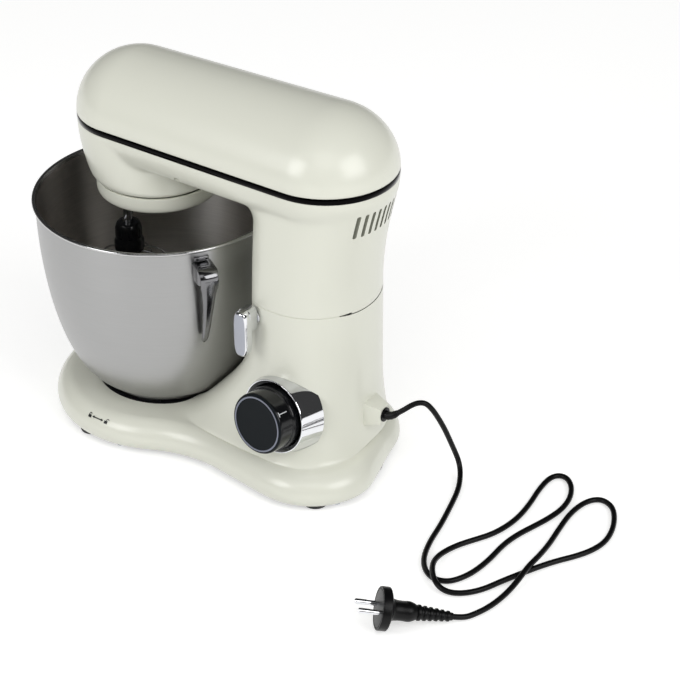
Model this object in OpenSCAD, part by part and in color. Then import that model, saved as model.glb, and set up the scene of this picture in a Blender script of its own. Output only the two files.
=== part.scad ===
// Tilt-head planetary stand mixer: base with turn-and-lock bowl, tilting head on a rear hinge,
// motor standing in the neck, belt drive to a gear train and a planetary whisk.
// Millimetres. +Z up, bowl end towards -Y, controls towards +X, origin under the middle of the body.

/* [Base] */
// Radius of the round front lobe of the base
lobe_r = 105; // [100:1:110]
// Y of the bowl axis, which is also the centre of the front lobe
bowl_y = -70; // [-72:1:-68]
// Height of the top of the base slab
slab_top = 32; // [31:1:33]
// Radius of the base's rear corner on the control side
corner_r = 63.5; // [60:0.5:66]
// Radius of its rear corner on the far side
far_corner_r = 54; // [52:1:56]
// Wall thickness of the moulded housings
wall = 2.8; // [2.4:0.1:3]

/* [Column and head] */
// Half width of the column at the parting line
column_w = 60; // [58:1:61]
// Y of the column's rear arc centre
column_y = 100; // [99:1:101]
// Y of the flat front of the column
column_front = 58; // [57:1:59]
// Height of the parting line between column and neck
seam_z = 176; // [175:1:177]
// Half width of the head at its front end
head_front_r = 57; // [56:0.5:58]
// Half width of the head at its rear end
head_rear_r = 62.5; // [61.5:0.5:63]
// Y of the front arc centre of the head
head_front_y = -85; // [-87:1:-84]
// Y of the rear arc centre of the head
head_rear_y = 112; // [111:1:113]
// Height of the lower edge of the trim strip
trim_z = 291.5; // [291:0.5:292]
// Height of the trim strip
trim_h = 4.5; // [4:0.5:5]
// Height of the top of the head
head_top = 352; // [348:1:356]

/* [Bowl] */
// Outer radius of the bowl wall just under the rim
bowl_r = 111; // [109:0.5:111.5]
// Radius of the bowl's flat bottom
bowl_floor_r = 58; // [57:0.5:59]
// Height of the rim
bowl_top = 217; // [214:1:218]
// Sheet thickness
sheet = 1.2; // [1:0.1:1.5]
// Angle of the handle from +X
handle_angle = 56; // [50:1:56]

/* [Planetary drive] */
// Distance of the whisk axis from the bowl axis: ring minus planet teeth, times half the module
planet_offset = 34; // [34:1:34]
// Angle of the whisk in front of the bowl axis, towards the controls
planet_turn = 10; // [0:1:20]
// Teeth of the fixed ring gear
ring_teeth = 46; // [46:1:46]
// Teeth of the planet pinion
planet_teeth = 12; // [12:1:12]
// Teeth of the big gear on the main shaft
main_teeth = 56; // [56:1:56]
// Teeth of the pinion on the layshaft
lay_teeth = 16; // [16:1:16]
// Largest radius of the balloon whisk
whisk_r = 46; // [42:1:48]

/* [Hidden] */

cream = [0.86, 0.87, 0.82];
black = [0.10, 0.10, 0.11];
steel = [0.70, 0.71, 0.72];
chrome = [0.80, 0.81, 0.83];
brass = [0.78, 0.62, 0.30];
gap = 0.3;                 // air between pieces that move past each other
far = 400;                 // longer than anything that a cut has to pass through

// ---------- outlines and lofts ----------

function at(outline, z) = [for (p = outline) [p[0], p[1], z]];
function arc(c, r, a0, a1, n) = [for (i = [0:n - 1]) let (a = a0 + (a1 - a0) * i / n) c + r * [cos(a), sin(a)]];
function mirror_x(outline) = [for (i = [len(outline) - 1:-1:0]) [-outline[i][0], outline[i][1]]];

// Outline round two circles on the Y axis, the front one smaller
function capsule(yf, rf, yr, rr, n = 24) =
    let (g = asin((rr - rf) / (yr - yf)))
    concat(arc([0, yr], rr, -g, 180 + g, n), arc([0, yf], rf, 180 + g, 360 - g, n));

// Rounded outline with its own front and rear lengths and corner squareness
function oval(w, front, rear, mid, squareF, squareR, n = 48) = [for (i = [0:n - 1])
    let (a = 360 * i / n, c = cos(a), s = sin(a), reach = s < 0 ? mid - front : rear - mid,
        e = 2 / (s < 0 ? squareF : squareR))
    [w * sign(c) * pow(abs(c), e), mid + reach * sign(s) * pow(abs(s), e)]];

// Closed solid through a stack of outlines with the same number of points
module loft(rings) {
    n = len(rings[0]);
    m = len(rings);
    sides = [for (j = [0:m - 2], i = [0:n - 1])
        let (a = j * n + i, b = j * n + (i + 1) % n) [a, a + n, b + n, b]];
    caps = [[for (i = [0:n - 1]) i], [for (i = [n - 1:-1:0]) (m - 1) * n + i]];
    polyhedron([for (r = rings) each r], concat(sides, caps));
}

// Round bar of radius r, or of one radius for each point, swept along a path
function unit(v) = v / norm(v);
function tangent(path, i) = unit(path[min(i + 1, len(path) - 1)] - path[max(i - 1, 0)]);
function frames(path, i, side) = i >= len(path) ? [] :
    let (t = tangent(path, i), s = unit(side - t * (side * t)))
    concat([[t, s, cross(t, s)]], frames(path, i + 1, s));
module sweep(path, r, sides = 8, side = [0, 0, 1]) {
    axes = frames(path, 0, side);
    loft([for (i = [0:len(path) - 1]) [for (k = [0:sides - 1])
        let (a = -360 * k / sides, at_i = is_list(r) ? r[i] : r)
            path[i] + at_i * (cos(a) * axes[i][1] - sin(a) * axes[i][2])]]);
}

module tube(r_out, r_in, z0, z1) {
    difference() {
        translate([0, 0, z0]) cylinder(h = z1 - z0, r = r_out, $fn = 64);
        translate([0, 0, z0 - 1]) cylinder(h = z1 - z0 + 2, r = r_in, $fn = 64);
    }
}
module rod(r, z0, z1) {
    translate([0, 0, z0]) cylinder(h = z1 - z0, r = r, $fn = 48);
}
// Cylinder along X between two planes, centred on a point of the YZ plane
module x_rod(r, x0, x1, y, z) {
    translate([x0, y, z]) rotate([0, 90, 0]) cylinder(h = x1 - x0, r = r, $fn = 48);
}
module box(lo, hi) {
    translate(lo) cube(hi - lo);
}
// Sector of a ring, from angle a0 to a1, between radii and heights
module sector(r0, r1, z0, z1, a0, a1) {
    rotate([0, 0, a0]) rotate_extrude(angle = a1 - a0, $fn = 96) translate([r0, z0]) square([r1 - r0, z1 - z0]);
}

// ---------- base ----------

foot_h = 5;                          // rubber showing under the base
waist = [194, 25];                   // centre of the hollow waist arc
corner = [33, 116];                  // centre of the rear corner arc on the control side
far_corner = [24, 109];              // the same on the far side, mirrored
waist_r = norm(waist - [0, bowl_y]) - lobe_r;
lobe_end = atan2(waist[1] - bowl_y, waist[0]);

// Half of the two-lobed outline of the base, round a rear corner c of radius cr
function half_outline(c, cr, inset) =
    let (waist_end = atan2(c[1] - waist[1], c[0] - waist[0]) + acos((waist_r + cr) / norm(c - waist)))
    concat(
        arc([0, bowl_y], lobe_r - inset, -90, lobe_end, 14),
        arc(waist, waist_r + inset, 180 + lobe_end, waist_end, 6),
        arc(c, cr - inset, waist_end - 180, 90, 9));
// Outline of the base moved inwards by inset: fuller on the control side
function base_outline(inset) =
    let (near = half_outline(corner, corner_r, inset), back = half_outline(far_corner, far_corner_r, inset))
    concat(near, [[0, (corner[1] + corner_r + far_corner[1] + far_corner_r) / 2 + 2 - inset]],
        [for (i = [len(back) - 1:-1:1]) [-back[i][0], back[i][1]]]);

edge_z = 13;                         // height at which the base is widest
edge_in = 17;                        // how far its top edge is rounded inwards
function edge_inset(t) = edge_in * (1 - cos(t));
module base_slab() {
    loft(concat(
        [for (t = [-60:30:-30]) at(base_outline(8 * (1 - cos(t))), edge_z + (edge_z - foot_h) * sin(t) / sin(60))],
        [for (t = [0:15:90]) at(base_outline(edge_inset(t)), edge_z + (slab_top - edge_z) * sin(t))]));
}
module slab_cavity() {
    loft([at(base_outline(wall + 2.2), -1), at(base_outline(wall + 1), edge_z),
        at(base_outline(wall + 5), slab_top - 10), at(base_outline(wall + 14), slab_top - wall)]);
}

// Section of the column at height z, moved inwards by inset
function low(z, top, power) = z < top ? pow((top - z) / (top - 20), power) : 0;
column_depth = 56;                   // from the rear arc centre to the rear wall
near_flare = 24;                     // how far the column spreads at its foot, each side
far_flare = 8;
function column_outline(z, inset, n = 48) = [for (p = oval(
    column_w - inset,
    column_front - 92 * low(z, 150, 1.9) + inset,
    column_y + column_depth + 6 * low(z, 60, 2) - inset,
    column_y, 3.5 - 0.5 * low(z, 80, 1), 2.1 + 0.4 * low(z, 80, 1), n))
    [p[0] + (p[0] > 0 ? near_flare : far_flare) * low(z, 120, 2.6) * p[0] / column_w, p[1]]];
// Rear face of the column and neck at the parting line, at distance x from the middle
function rear_face(x) = column_y + column_depth * pow(1 - pow(abs(x) / column_w, 2.1), 1 / 2.1);
column_levels = [20, 26, 32, 38, 45, 54, 65, 78, 94, 112, 130, seam_z - gap];
// Room kept clear round the bowl, so that the column's front follows it
bowl_air = 5;
module bowl_room(room) {
    translate([0, bowl_y, 0]) rotate_extrude($fn = 120) polygon(concat(
        [[0, seat_z], [seat_r + room - bowl_air, seat_z]],
        [for (p = bowl_profile(0)) if (p[0] > seat_r) [p[0] + room, p[1] - room * 0.4]], [[0, wall_top]]));
}
deck_z = seam_z - 3;                 // underside of the deck that closes the column

// Hinge: pin across the rear of the parting line
pin_y = 146;
pin_z = seam_z + 1;
pin_r = 2.5;
ear_in = 16;                         // inner and outer faces of the bracket's ears
ear_out = 21;

// Groove that the neck's heel swings down into as the head is raised
groove_half = 34;
module heel_groove() {
    translate([0, pin_y, pin_z]) rotate([0, 90, 0]) rotate_extrude($fn = 96)
        polygon(concat([[0, -groove_half]],
            [for (x = [-groove_half:groove_half / 6:groove_half])
                [0.7 + norm([max(rear_face(x) - pin_y, 0), pin_z - seam_z]), x]],
            [[0, groove_half]]));
}

// Bowl seat pocket in the front lobe
seat_r = 63.6;
seat_z = 17;

// Knob axis: on the column's right flank, turned a little forwards and up
knob_at = [64, 102, 76];
knob_turn = -7;
knob_tilt = 83;
module on_knob_axis() {
    translate(knob_at) rotate([0, 0, knob_turn]) rotate([0, knob_tilt, 0]) children();
}
bezel_back = -16;                    // rear and front of the bezel cone along the knob axis
bezel_front = 8;
bezel_taper = 0.2;
bezel_r = 35.8;
module bezel_cone(extra) {
    translate([0, 0, bezel_back - extra]) cylinder(h = bezel_front - bezel_back + 2 * extra,
        r1 = bezel_r - bezel_taper * (bezel_back - extra) + extra,
        r2 = bezel_r - bezel_taper * (bezel_front + extra) + extra, $fn = 96);
}

// Release lever axis, along X through the column's right wall
lever_y = 75;
lever_z = 164;
bush_r = 9;

gland_z = 65;
gland_y = 171;                       // outer face of the cord outlet block
gland_half = 7.5;
screw_spots = [for (i = [5, 12, 19, 26, 33, 40, 47, 54]) base_outline(8)[i]];

module base_housing() {
    color(cream) difference() {
        union() {
            difference() {
                union() {
                    base_slab();
                    loft([for (z = column_levels) at(column_outline(z, 0), z)]);
                    box([-gland_half, column_y, gland_z - gland_half], [gland_half, gland_y, gland_z + gland_half]);
                }
                slab_cavity();
                difference() {
                    loft([for (z = [10, 32, 45, 65, 94, 130, deck_z]) at(column_outline(z, wall + 0.4), z)]);
                    bowl_room(bowl_air + wall);
                }
                box([-5.5, column_y, gland_z - 5.5], [5.5, gland_y - 3, gland_z + 5.5]);
            }
            // pocket wall and floor for the bowl seat
            translate([0, bowl_y, seat_z - 3])
                cylinder(h = slab_top - seat_z + 2, r1 = seat_r + 3, r2 = seat_r + 13, $fn = 96);
            // cradle under the hinge and boss behind the release lever
            intersection() {
                box([-36, pin_y - 13, seam_z - 19], [36, far, seam_z - gap]);
                loft([for (z = [94, seam_z - gap]) at(column_outline(z, 1), z)]);
            }
            x_rod(bush_r, 44, 60, lever_y, lever_z);
            // screw bosses
            for (p = screw_spots) translate([p[0], p[1], foot_h + 2.4]) cylinder(h = 9, r = 5, $fn = 32);
        }
        bowl_room(bowl_air);
        for (p = screw_spots) translate([p[0], p[1], foot_h]) cylinder(h = 10, r = 1.5, $fn = 24);
        heel_groove();
        hinge_bracket_shape();
        on_knob_axis() bezel_cone(0.1);
        x_rod(6, 40, far, lever_y, lever_z);
        // slot in the deck for the latch strike
        box([-9, 80, 150], [9, 96, far]);
        // cord outlet
        translate([0, gland_y + 5, gland_z]) rotate([90, 0, 0]) cylinder(h = 40, r = 5, $fn = 48);
    }
}

module bottom_cover() {
    color(black) difference() {
        translate([0, 0, foot_h]) linear_extrude(2.4) polygon(base_outline(wall + 2.6));
        for (p = screw_spots) translate([p[0], p[1], 0]) cylinder(h = 9, r = 1.7, $fn = 24);
        // air slots under the column
        for (i = [-4:4]) box([i * 9 - 1.5, 85, 0], [i * 9 + 1.5, 125, 9]);
    }
}

foot_spots = [[86, -94], [-86, -94], [0, -158], [70, 144], [-42, 128]];
module rubber_feet() {
    color(black) for (p = foot_spots) translate([p[0], p[1], 0]) rotate_extrude($fn = 48)
        polygon([[0, 0], [9.5, 0], [11, 1], [12, foot_h], [0, foot_h]]);
}
module base_screws() {
    color(steel) for (p = screw_spots) translate([p[0], p[1], 0]) {
        rod(1.45, foot_h, 14.5);
        rod(3.2, foot_h - 1.4, foot_h);
    }
}

tab_angles = [30, 150, 270];          // start angles of the seat's three locking tabs
module bowl_seat() {
    color(black) translate([0, bowl_y, 0]) {
        tube(seat_r - gap, 14, seat_z, seat_z + 3);
        tube(seat_r - gap, seat_r - 3, seat_z + 3, slab_top - 1);
        for (a = tab_angles) sector(55.5, seat_r - 2, 27.5, 30.5, a, a + 30);
    }
}

// ---------- hinge and latch in the column ----------

module hinge_bracket_shape() {
    for (s = [-1, 1]) translate([s > 0 ? ear_in : -ear_out, 0, 0]) {
        x_rod(5, 0, ear_out - ear_in, pin_y, pin_z);
        box([0, pin_y - 4, seam_z - 24], [ear_out - ear_in, pin_y + 3, pin_z]);
    }
    box([-30, pin_y - 12, seam_z - 22], [30, pin_y + 3, seam_z - 19]);
}
module hinge_bracket() {
    color(steel) difference() {
        hinge_bracket_shape();
        x_rod(pin_r, -far, far, pin_y, pin_z);
    }
}
module hinge_pin() {
    color(steel) {
        x_rod(pin_r, -ear_out, ear_out, pin_y, pin_z);
        for (s = [-1, 1]) x_rod(3.8, s > 0 ? ear_out : -ear_out - 1, s > 0 ? ear_out + 1 : -ear_out, pin_y, pin_z);
    }
}
module latch_bush() {
    color(chrome) difference() {
        union() {
            x_rod(5.9, 44, 60, lever_y, lever_z);
            x_rod(9.8, 60, lever_in - gap, lever_y, lever_z);
        }
        x_rod(3.05, 0, far, lever_y, lever_z);
    }
}
module release_lever() {
    color(chrome) difference() {
        loft([for (g = [[lever_in, 2.5], [lever_in + 2, 0], [lever_out - 2.5, 0], [lever_out, 2.5]])
            [for (p = lever_outline(g[1])) [g[0], p[0], p[1]]]]);
        x_rod(2.5, lever_in - 1, lever_in + 6, lever_y, lever_z);
    }
}
// Long octagon with soft corners, top and bottom at lever_z + 13 and lever_z - 33
lever_top = 13;
lever_low = -33;
lever_half = 10.8;
lever_in = 67;                       // inner and outer faces of the lever
lever_out = 79;
function lever_outline(inset) = [for (i = [0:23])
    let (a = 360 * (i + 0.5) / 24, c = cos(a), s = sin(a), mid = (lever_top + lever_low) / 2,
        half = (lever_top - lever_low) / 2)
    [lever_y + (lever_half - inset) * sign(c) * pow(abs(c), 0.55),
        lever_z + mid + (half - inset) * sign(s) * pow(abs(s), 0.55)]];
module latch_shaft() {
    color(steel) {
        x_rod(3, -6, lever_in, lever_y, lever_z);
        x_rod(2.5, lever_in, lever_in + 6, lever_y, lever_z);
        // hook with its nose short of the strike's path
        x_rod(5, -6, 2, lever_y, lever_z);
        box([-6, lever_y, lever_z - 1], [2, strike_y - 3, lever_z + 5]);
    }
}
strike_y = 87;
module latch_strike() {
    color(steel) {
        box([-7, strike_y, seam_z - 17], [7, strike_y + 3, seam_z + 6.3]);
        box([-7, strike_y, seam_z + 3.3], [7, strike_y + 20, seam_z + 6.3]);
    }
}
module latch_spring() {
    color(steel) translate([34, lever_y, lever_z]) rotate([0, 90, 0]) rotate_extrude($fn = 48) {
        for (k = [0:5]) translate([7, 0.9 + k * 1.6]) circle(r = 0.9, $fn = 16);
        translate([6.3, 9]) square([1.6, 1]);
    }
}

// ---------- controls ----------

module knob_bezel() {
    color(chrome) on_knob_axis() difference() {
        bezel_cone(0);
        // dish that the knob sits in, and the hole for its spindle
        translate([0, 0, bezel_back + 3]) cylinder(h = far, r = 29.6, $fn = 96);
        translate([0, 0, 5]) cylinder(h = 3.1, r1 = 29.6, r2 = 33.2, $fn = 96);
        rod(5, bezel_back - 5, far);
    }
}
module speed_switch() {
    color(black) on_knob_axis() difference() {
        union() {
            rod(15, bezel_back - 16, bezel_back);
            rod(4.9, bezel_back, bezel_back + 3);
        }
        rod(3.05, bezel_back - 12, 20);
    }
}
module knob_spindle() {
    color(steel) on_knob_axis() {
        rod(3, bezel_back - 11.6, 9);
    }
}
knob_r = 26.6;
knob_face = 29;
module speed_knob() {
    color(black) on_knob_axis() difference() {
        rotate_extrude($fn = 96) polygon([[0, -10], [28.4, -10], [28.4, 10.5], [27.8, 11.5], [27.2, 11.5],
            [27.2, 12.3], [knob_r, 12.3], [knob_r, knob_face - 1.5], [knob_r - 1.5, knob_face],
            [24.2, knob_face], [24.2, knob_face - 1], [22.8, knob_face - 1], [22.8, knob_face - 0.3],
            [0, knob_face - 0.3]]);
        rod(3, -11, 9);
        // hollow behind the rim
        tube(25.6, 8, -11, 8);
    }
}
module knob_ring() {
    color(chrome) on_knob_axis() tube(24.2, 22.8, knob_face - 1, knob_face + 0.2);
}
module control_board() {
    color([0.10, 0.35, 0.20]) {
        box([-42, 85, foot_h + 2.4], [-40.4, 135, 72]);
        box([-40.4, 92, 25], [-30, 108, 42]);
        box([-40.4, 114, 45], [-26, 128, 65]);
    }
}

// ---------- cord and plug ----------

cord_r = 2.5;
cord_route = [
    [-2.5, 183.3, 69.5], [-5, 187.5, 72.5], [-9, 192.5, 77], [-13.5, 197.5, 79.5], [-18, 203, 78.5],
    [-22, 208, 70.5], [-26, 212, 60], [-30, 216, 48], [-33.5, 219, 36], [-37, 222, 24], [-38.5, 226, 13],
    [-32, 232, 5.5], [-14, 241, 2.7], [14, 249, 2.7], [41, 256, 2.7],
    [63, 260, 2.7], [83, 266, 2.7], [96, 273, 2.7], [105, 282, 2.7], [109, 292, 2.7], [106, 303, 2.7],
    [96, 310, 2.7], [81, 315, 2.7], [59, 317, 2.7], [36, 316, 2.7], [16, 319, 2.7], [-3, 325, 2.7],
    [-20, 330, 2.7], [-38, 333, 2.7], [-56, 331, 2.7], [-72, 324, 2.7], [-82, 314, 2.7], [-82, 305, 2.7],
    [-73, 300, 2.7], [-53, 301, 2.7], [-31, 305, 2.7], [-8, 307, 2.7], [11, 305, 2.7], [28, 300, 2.7],
    [42, 292, 2.7], [56, 284, 2.7], [71, 279, 3], [86, 279, 5], [100, 284, 8], [113, 293, 8],
    [119, 303, 5], [118, 313, 3], [111, 324, 2.7], [98, 334, 2.7], [80, 341, 2.7], [63, 349, 2.7],
    [48, 356, 2.7], [30, 366, 2.7], [16, 376, 2.7], [1, 384, 2.7], [-16, 388, 2.7], [-35, 385, 2.7],
    [-52, 378, 2.7], [-65, 369, 2.7], [-70, 358, 2.7], [-67, 350, 2.7], [-56, 344, 2.7], [-36, 342, 2.7],
    [-12, 345, 2.7], [13, 349, 3], [36, 352, 6], [57, 353, 8.5], [78, 354, 5], [98, 353, 3],
    [117, 350, 2.7], [133, 344, 2.7], [140.5, 339.5, 3.2], [146, 333, 5]];

relief_path = [[0, 172, 65], [0, 175.3, 65.2], [-0.3, 178.3, 66.2], [-1.1, 181, 67.8], cord_route[0]];
relief_r = [4.2, 3.8, 3.4, 3.05, 2.8];
module cord_gland() {
    color(black) translate([0, gland_y, gland_z]) rotate([-90, 0, 0]) {
        rod(4.9, -14, 0);
        rod(6.6, 0, 1.4);
    }
    // tapered strain relief, bent the way that the lead leaves
    color(black) sweep(relief_path, relief_r, 16);
}
module power_cord() {
    color(black) sweep(cord_route, cord_r);
}
plug_at = cord_route[len(cord_route) - 1];
plug_turn = -50;                     // heading of the pins, and how far they point up
plug_rise = 13.5;
plug_roll = 14;
module on_plug_axis() {
    translate(plug_at) rotate([0, 0, plug_turn]) rotate([0, 90 - plug_rise, 0]) rotate([0, 0, plug_roll]) children();
}
module plug_body() {
    color(black) on_plug_axis() difference() {
        rotate_extrude($fn = 64) polygon(concat([[0, 0], [3.2, 0]],
            [for (k = [0:5]) each [[3.6 + k * 0.45, 3 + k * 5], [4.6 + k * 0.45, 3 + k * 5],
                [4.6 + k * 0.45, 5.6 + k * 5], [3.6 + k * 0.45, 5.6 + k * 5]]],
            [[8, 34], [10.5, 38], [11, 54], [18, 55.5], [18.5, 56], [18.5, 63], [18, 63.5], [0, 63.5]]));
        // flats where the plug is gripped
        for (s = [-1, 1]) translate([s * 12 - (s > 0 ? 0 : 6), -15, 40]) cube([6, 30, 10]);
    }
}
module plug_pins() {
    color(chrome) on_plug_axis() for (s = [-1, 1]) translate([0, s * 9.5, 63.5]) {
        rod(2.2, 0, 9);
        rod(2.4, 9, 18);
        translate([0, 0, 18]) cylinder(h = 1, r1 = 2.4, r2 = 1.6, $fn = 48);
    }
}

// ---------- head ----------

pan_z = 266;                         // flat underside of the arm
boss_z = 243;                        // underside of the round boss over the bowl
neck_lean = 18;
function neck_outline(z, inset) =
    let (t = (z - seam_z) / 100, lean = neck_lean * pow(max(t, 0), 1.7),
        brow = z > 250 ? 16 * pow((z - 250) / 18, 2) : 0)
    oval(column_w - 5 * t - inset, column_front - brow + inset, column_y + lean + column_depth - 2 * t - inset,
        column_y + lean, 3.5, 2.1);
function head_outline(inset) = capsule(head_front_y, head_front_r - inset, head_rear_y, head_rear_r - inset);
function pan_inset(u) = 12 * (1 - sqrt(1 - u * u));
module head_pan() {
    loft([for (u = [1, 0.96, 0.85, 0.65, 0.4, 0]) at(head_outline(pan_inset(u)), trim_z - (trim_z - pan_z) * u)]);
}
boss_low = 238.5;                    // lower edge of the skirt round the boss
function boss_ring(z) =
    let (t = (z - boss_low) / (trim_z - boss_low), u = max(1 - (z - boss_low) / 6, 0))
    at(arc([0, head_front_y + 14 * pow(1 - t, 2.2)], head_front_r - 0.1 - 3.9 * (1 - sqrt(1 - u * u)),
        0, 360, 64), z);
vent_pitch = 7.3;
vent_count = 9;
screw_holes = [for (s = [-1, 1], p = [[42, -14], [42, 38]]) [s * p[0], p[1]]];
module head_shell() {
    color(cream) difference() {
        union() {
            difference() {
                union() {
                    head_pan();
                    loft([for (z = [boss_low, 239, 240, 242, 244.5, 250, 257, 266, 277, trim_z - 0.5])
                        boss_ring(z)]);
                    loft([for (z = [seam_z + gap, 190, 205, 220, 235, 250, 256, 262, 268, 276, 284])
                        at(neck_outline(z, 0), z)]);
                }
                // hollow of the arm, the boss and the neck
                loft([at(head_outline(12 + wall), pan_z + 3), at(head_outline(wall + 3), pan_z + 12),
                    at(head_outline(wall), trim_z + 1)]);
                translate([0, bowl_y, boss_z + 3]) cylinder(h = 30, r = 50, $fn = 96);
                translate([0, bowl_y, boss_low - 1]) cylinder(h = boss_z - boss_low + 1, r = 51.2, $fn = 96);
                loft([for (z = [seam_z + 3.3, 220, 250, pan_z + 4, pan_z + 14]) at(neck_outline(z, wall + 0.2), z)]);
            }
            // lip inside the trim strip
            difference() {
                translate([0, 0, trim_z - 6]) linear_extrude(trim_h + 8) polygon(head_outline(wall + 1));
                translate([0, 0, trim_z - 7]) linear_extrude(trim_h + 10) polygon(head_outline(wall + 2.6));
            }
            for (p = screw_holes) translate([p[0], p[1], pan_z + 1]) cylinder(h = 8, r = 5, $fn = 32);
        }
        // vents round the rear of the neck
        for (i = [0:vent_count - 1]) let (x = (i - (vent_count - 1) / 2) * vent_pitch)
            hull() for (z = [252.7, 273.3]) translate([x, far, z]) rotate([90, 0, 0])
                cylinder(h = far - column_y - 30, r = 1.7, $fn = 24);
        // hinge knuckle, main shaft bush and screws
        x_rod(5.5, -ear_out - 1.6, ear_out + 1.6, pin_y, pin_z);
        translate([0, bowl_y, 0]) rod(12, boss_z - 5, boss_z + 5);
        for (p = screw_holes) translate([p[0], p[1], 0]) {
            rod(4.2, pan_z - 5, pan_z + 3);
            rod(1.7, pan_z, pan_z + 12);
        }
        box([-7.2, strike_y - 0.2, seam_z - 1], [7.2, strike_y + 3.2, seam_z + 5]);
    }
}
dome_z = trim_z + trim_h;
function dome_ring(t, inset) =
    let (c = cos(t), front = (head_front_r - inset) * c, rear = (head_rear_r - inset) * c)
    at(capsule(head_front_y, front, head_rear_y, rear, 20), dome_z + (head_top - dome_z - inset) * sin(t));
module top_cover() {
    color(cream) difference() {
        loft([for (t = [0, 10, 20, 30, 40, 50, 60, 70, 78, 85]) dome_ring(t, 0)]);
        translate([0, 0, -0.01]) loft([for (t = [0, 20, 40, 58, 74]) dome_ring(t, wall)]);
    }
}
module trim_strip() {
    color(chrome) translate([0, 0, trim_z]) linear_extrude(trim_h) difference() {
        polygon(head_outline(-0.2));
        polygon(head_outline(wall + 0.3));
    }
}
module head_screws() {
    color(steel) for (p = screw_holes) translate([p[0], p[1], 0]) {
        rod(3.6, pan_z + 1, pan_z + 3);
        rod(1.65, pan_z + 3, pan_z + 9.5);
    }
}
module head_hinge() {
    color(steel) difference() {
        union() {
            x_rod(5.2, -ear_in + gap, ear_in - gap, pin_y, pin_z);
            box([-ear_in + gap, 112, seam_z + 3.3], [ear_in - gap, pin_y, seam_z + 6]);
        }
        x_rod(pin_r + 0.05, -far, far, pin_y, pin_z);
    }
}

// ---------- motor in the neck ----------

motor_y = 108;
stator_z = [206, 252];
module at_motor() {
    translate([0, motor_y, 0]) children();
}
bolt_spots = [for (a = [45:90:315]) 37 * [cos(a), sin(a)]];
module motor_stator() {
    color(steel) at_motor() difference() {
        intersection() {
            rod(41, stator_z[0], stator_z[1]);
            box([-35, -35, 0], [35, 35, far]);
        }
        rod(24.6, 0, far);
        for (p = bolt_spots) translate([p[0], p[1], 0]) rod(2, 0, far);
        for (s = [-1, 1]) rotate([0, 0, s > 0 ? 0 : 180]) sector(24, 31, stator_z[0] - 1, stator_z[1] + 1, -28, 28);
    }
}
module field_coils() {
    color([0.72, 0.40, 0.20]) at_motor() for (s = [0, 180]) rotate([0, 0, s]) difference() {
        sector(25.4, 30.4, stator_z[0] - 7, stator_z[1] + 4, -26, 26);
        sector(24, 32, stator_z[0], stator_z[1] - 3, -12, 12);
    }
}
module motor_bracket() {
    color(steel) at_motor() {
        difference() {
            union() {
                rod(9, 186, 194);
                rod(30, 186, 190);
                for (a = [45, 135]) rotate([0, 0, a]) box([-41, -6, 186], [41, 6, 190]);
                for (p = bolt_spots) translate([p[0], p[1], 0]) rod(4.5, 190, stator_z[0]);
            }
            rod(4.05, 188, far);
            for (p = bolt_spots) translate([p[0], p[1], 0]) rod(2, 0, far);
        }
    }
}
module motor_bolts() {
    color(steel) at_motor() for (p = bolt_spots) translate([p[0], p[1], 0]) {
        rod(1.95, 186, pan_z + 6);
        rod(3.6, 183.5, 186);
    }
}
module brush_holders() {
    color(brass) at_motor() for (s = [0, 180]) rotate([0, 0, s]) {
        box([11.6, -3.5, 195.2], [24.5, 3.5, 201]);
        box([24.5, -4.5, 190], [28, 4.5, 199]);
    }
}
module motor_shaft() {
    color(steel) at_motor() rod(4, 188.5, 314);
}
module armature() {
    color([0.45, 0.32, 0.24]) at_motor() difference() {
        union() {
            rod(24, stator_z[0] + 2, stator_z[1] - 2);
            rod(17, stator_z[0] - 1.5, stator_z[0] + 2);
            rod(17, stator_z[1] - 2, stator_z[1] + 3);
        }
        rod(4, 0, far);
        for (k = [0:11]) rotate([0, 0, k * 30]) box([21, -1.2, 0], [30, 1.2, far]);
    }
}
module commutator() {
    color([0.75, 0.45, 0.25]) at_motor() difference() {
        rod(11, 194.5, 203);
        rod(4, 0, far);
    }
}
fan_z = [256.5, 265.5];
module cooling_fan() {
    color(black) at_motor() difference() {
        union() {
            rod(9, fan_z[0], fan_z[1]);
            rod(34, fan_z[0], fan_z[0] + 1.6);
            for (k = [0:10]) rotate([0, 0, k * 360 / 11])
                box([6, -0.8, fan_z[0] + 0.6], [33, 0.8, fan_z[1] - 0.6]);
        }
        rod(4, 0, far);
    }
}
belt_z = [302, 312];
small_pulley_r = 9;
big_pulley_r = 34;
lay_y = bowl_y + (main_teeth + lay_teeth) * 1.25 / 2;
module motor_pulley() {
    color(steel) at_motor() difference() {
        union() {
            rod(small_pulley_r, belt_z[0] - 1.5, belt_z[1] + 1.5);
            rod(small_pulley_r + 3, belt_z[0] - 3, belt_z[0] - gap);
            rod(small_pulley_r + 3, belt_z[1] + gap, belt_z[1] + 1.8);
        }
        rod(4, 0, far);
    }
}
// Outline of a belt pressed against both pulleys
function belt_outline(extra) = capsule(-(motor_y - lay_y), small_pulley_r + extra, 0, big_pulley_r + extra, 36);
module drive_belt() {
    color(black) translate([0, lay_y, belt_z[0]]) rotate([0, 0, 180]) linear_extrude(belt_z[1] - belt_z[0])
        difference() {
            polygon(belt_outline(gap + 2));
            polygon(belt_outline(gap));
        }
}
module belt_pulley() {
    color(black) translate([0, lay_y, 0]) difference() {
        union() {
            tube(big_pulley_r, big_pulley_r - 3, belt_z[0] - 1, belt_z[1] + 1);
            rod(9, belt_z[0] - 6, belt_z[1] + 2);
            tube(big_pulley_r - 2, 8, belt_z[0] + 3, belt_z[0] + 6);
        }
        rod(4, 0, far);
        for (a = [0:60:300]) rotate([0, 0, a + 30]) translate([20, 0, 0]) rod(6, 0, far);
    }
}

// ---------- gears ----------

// Involute tooth flanks: angle swept by the involute of base radius rb when it reaches radius r
function inv_angle(rb, r) = r <= rb ? 0 : let (a = acos(rb / r)) tan(a) * 180 / PI - a;
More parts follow.
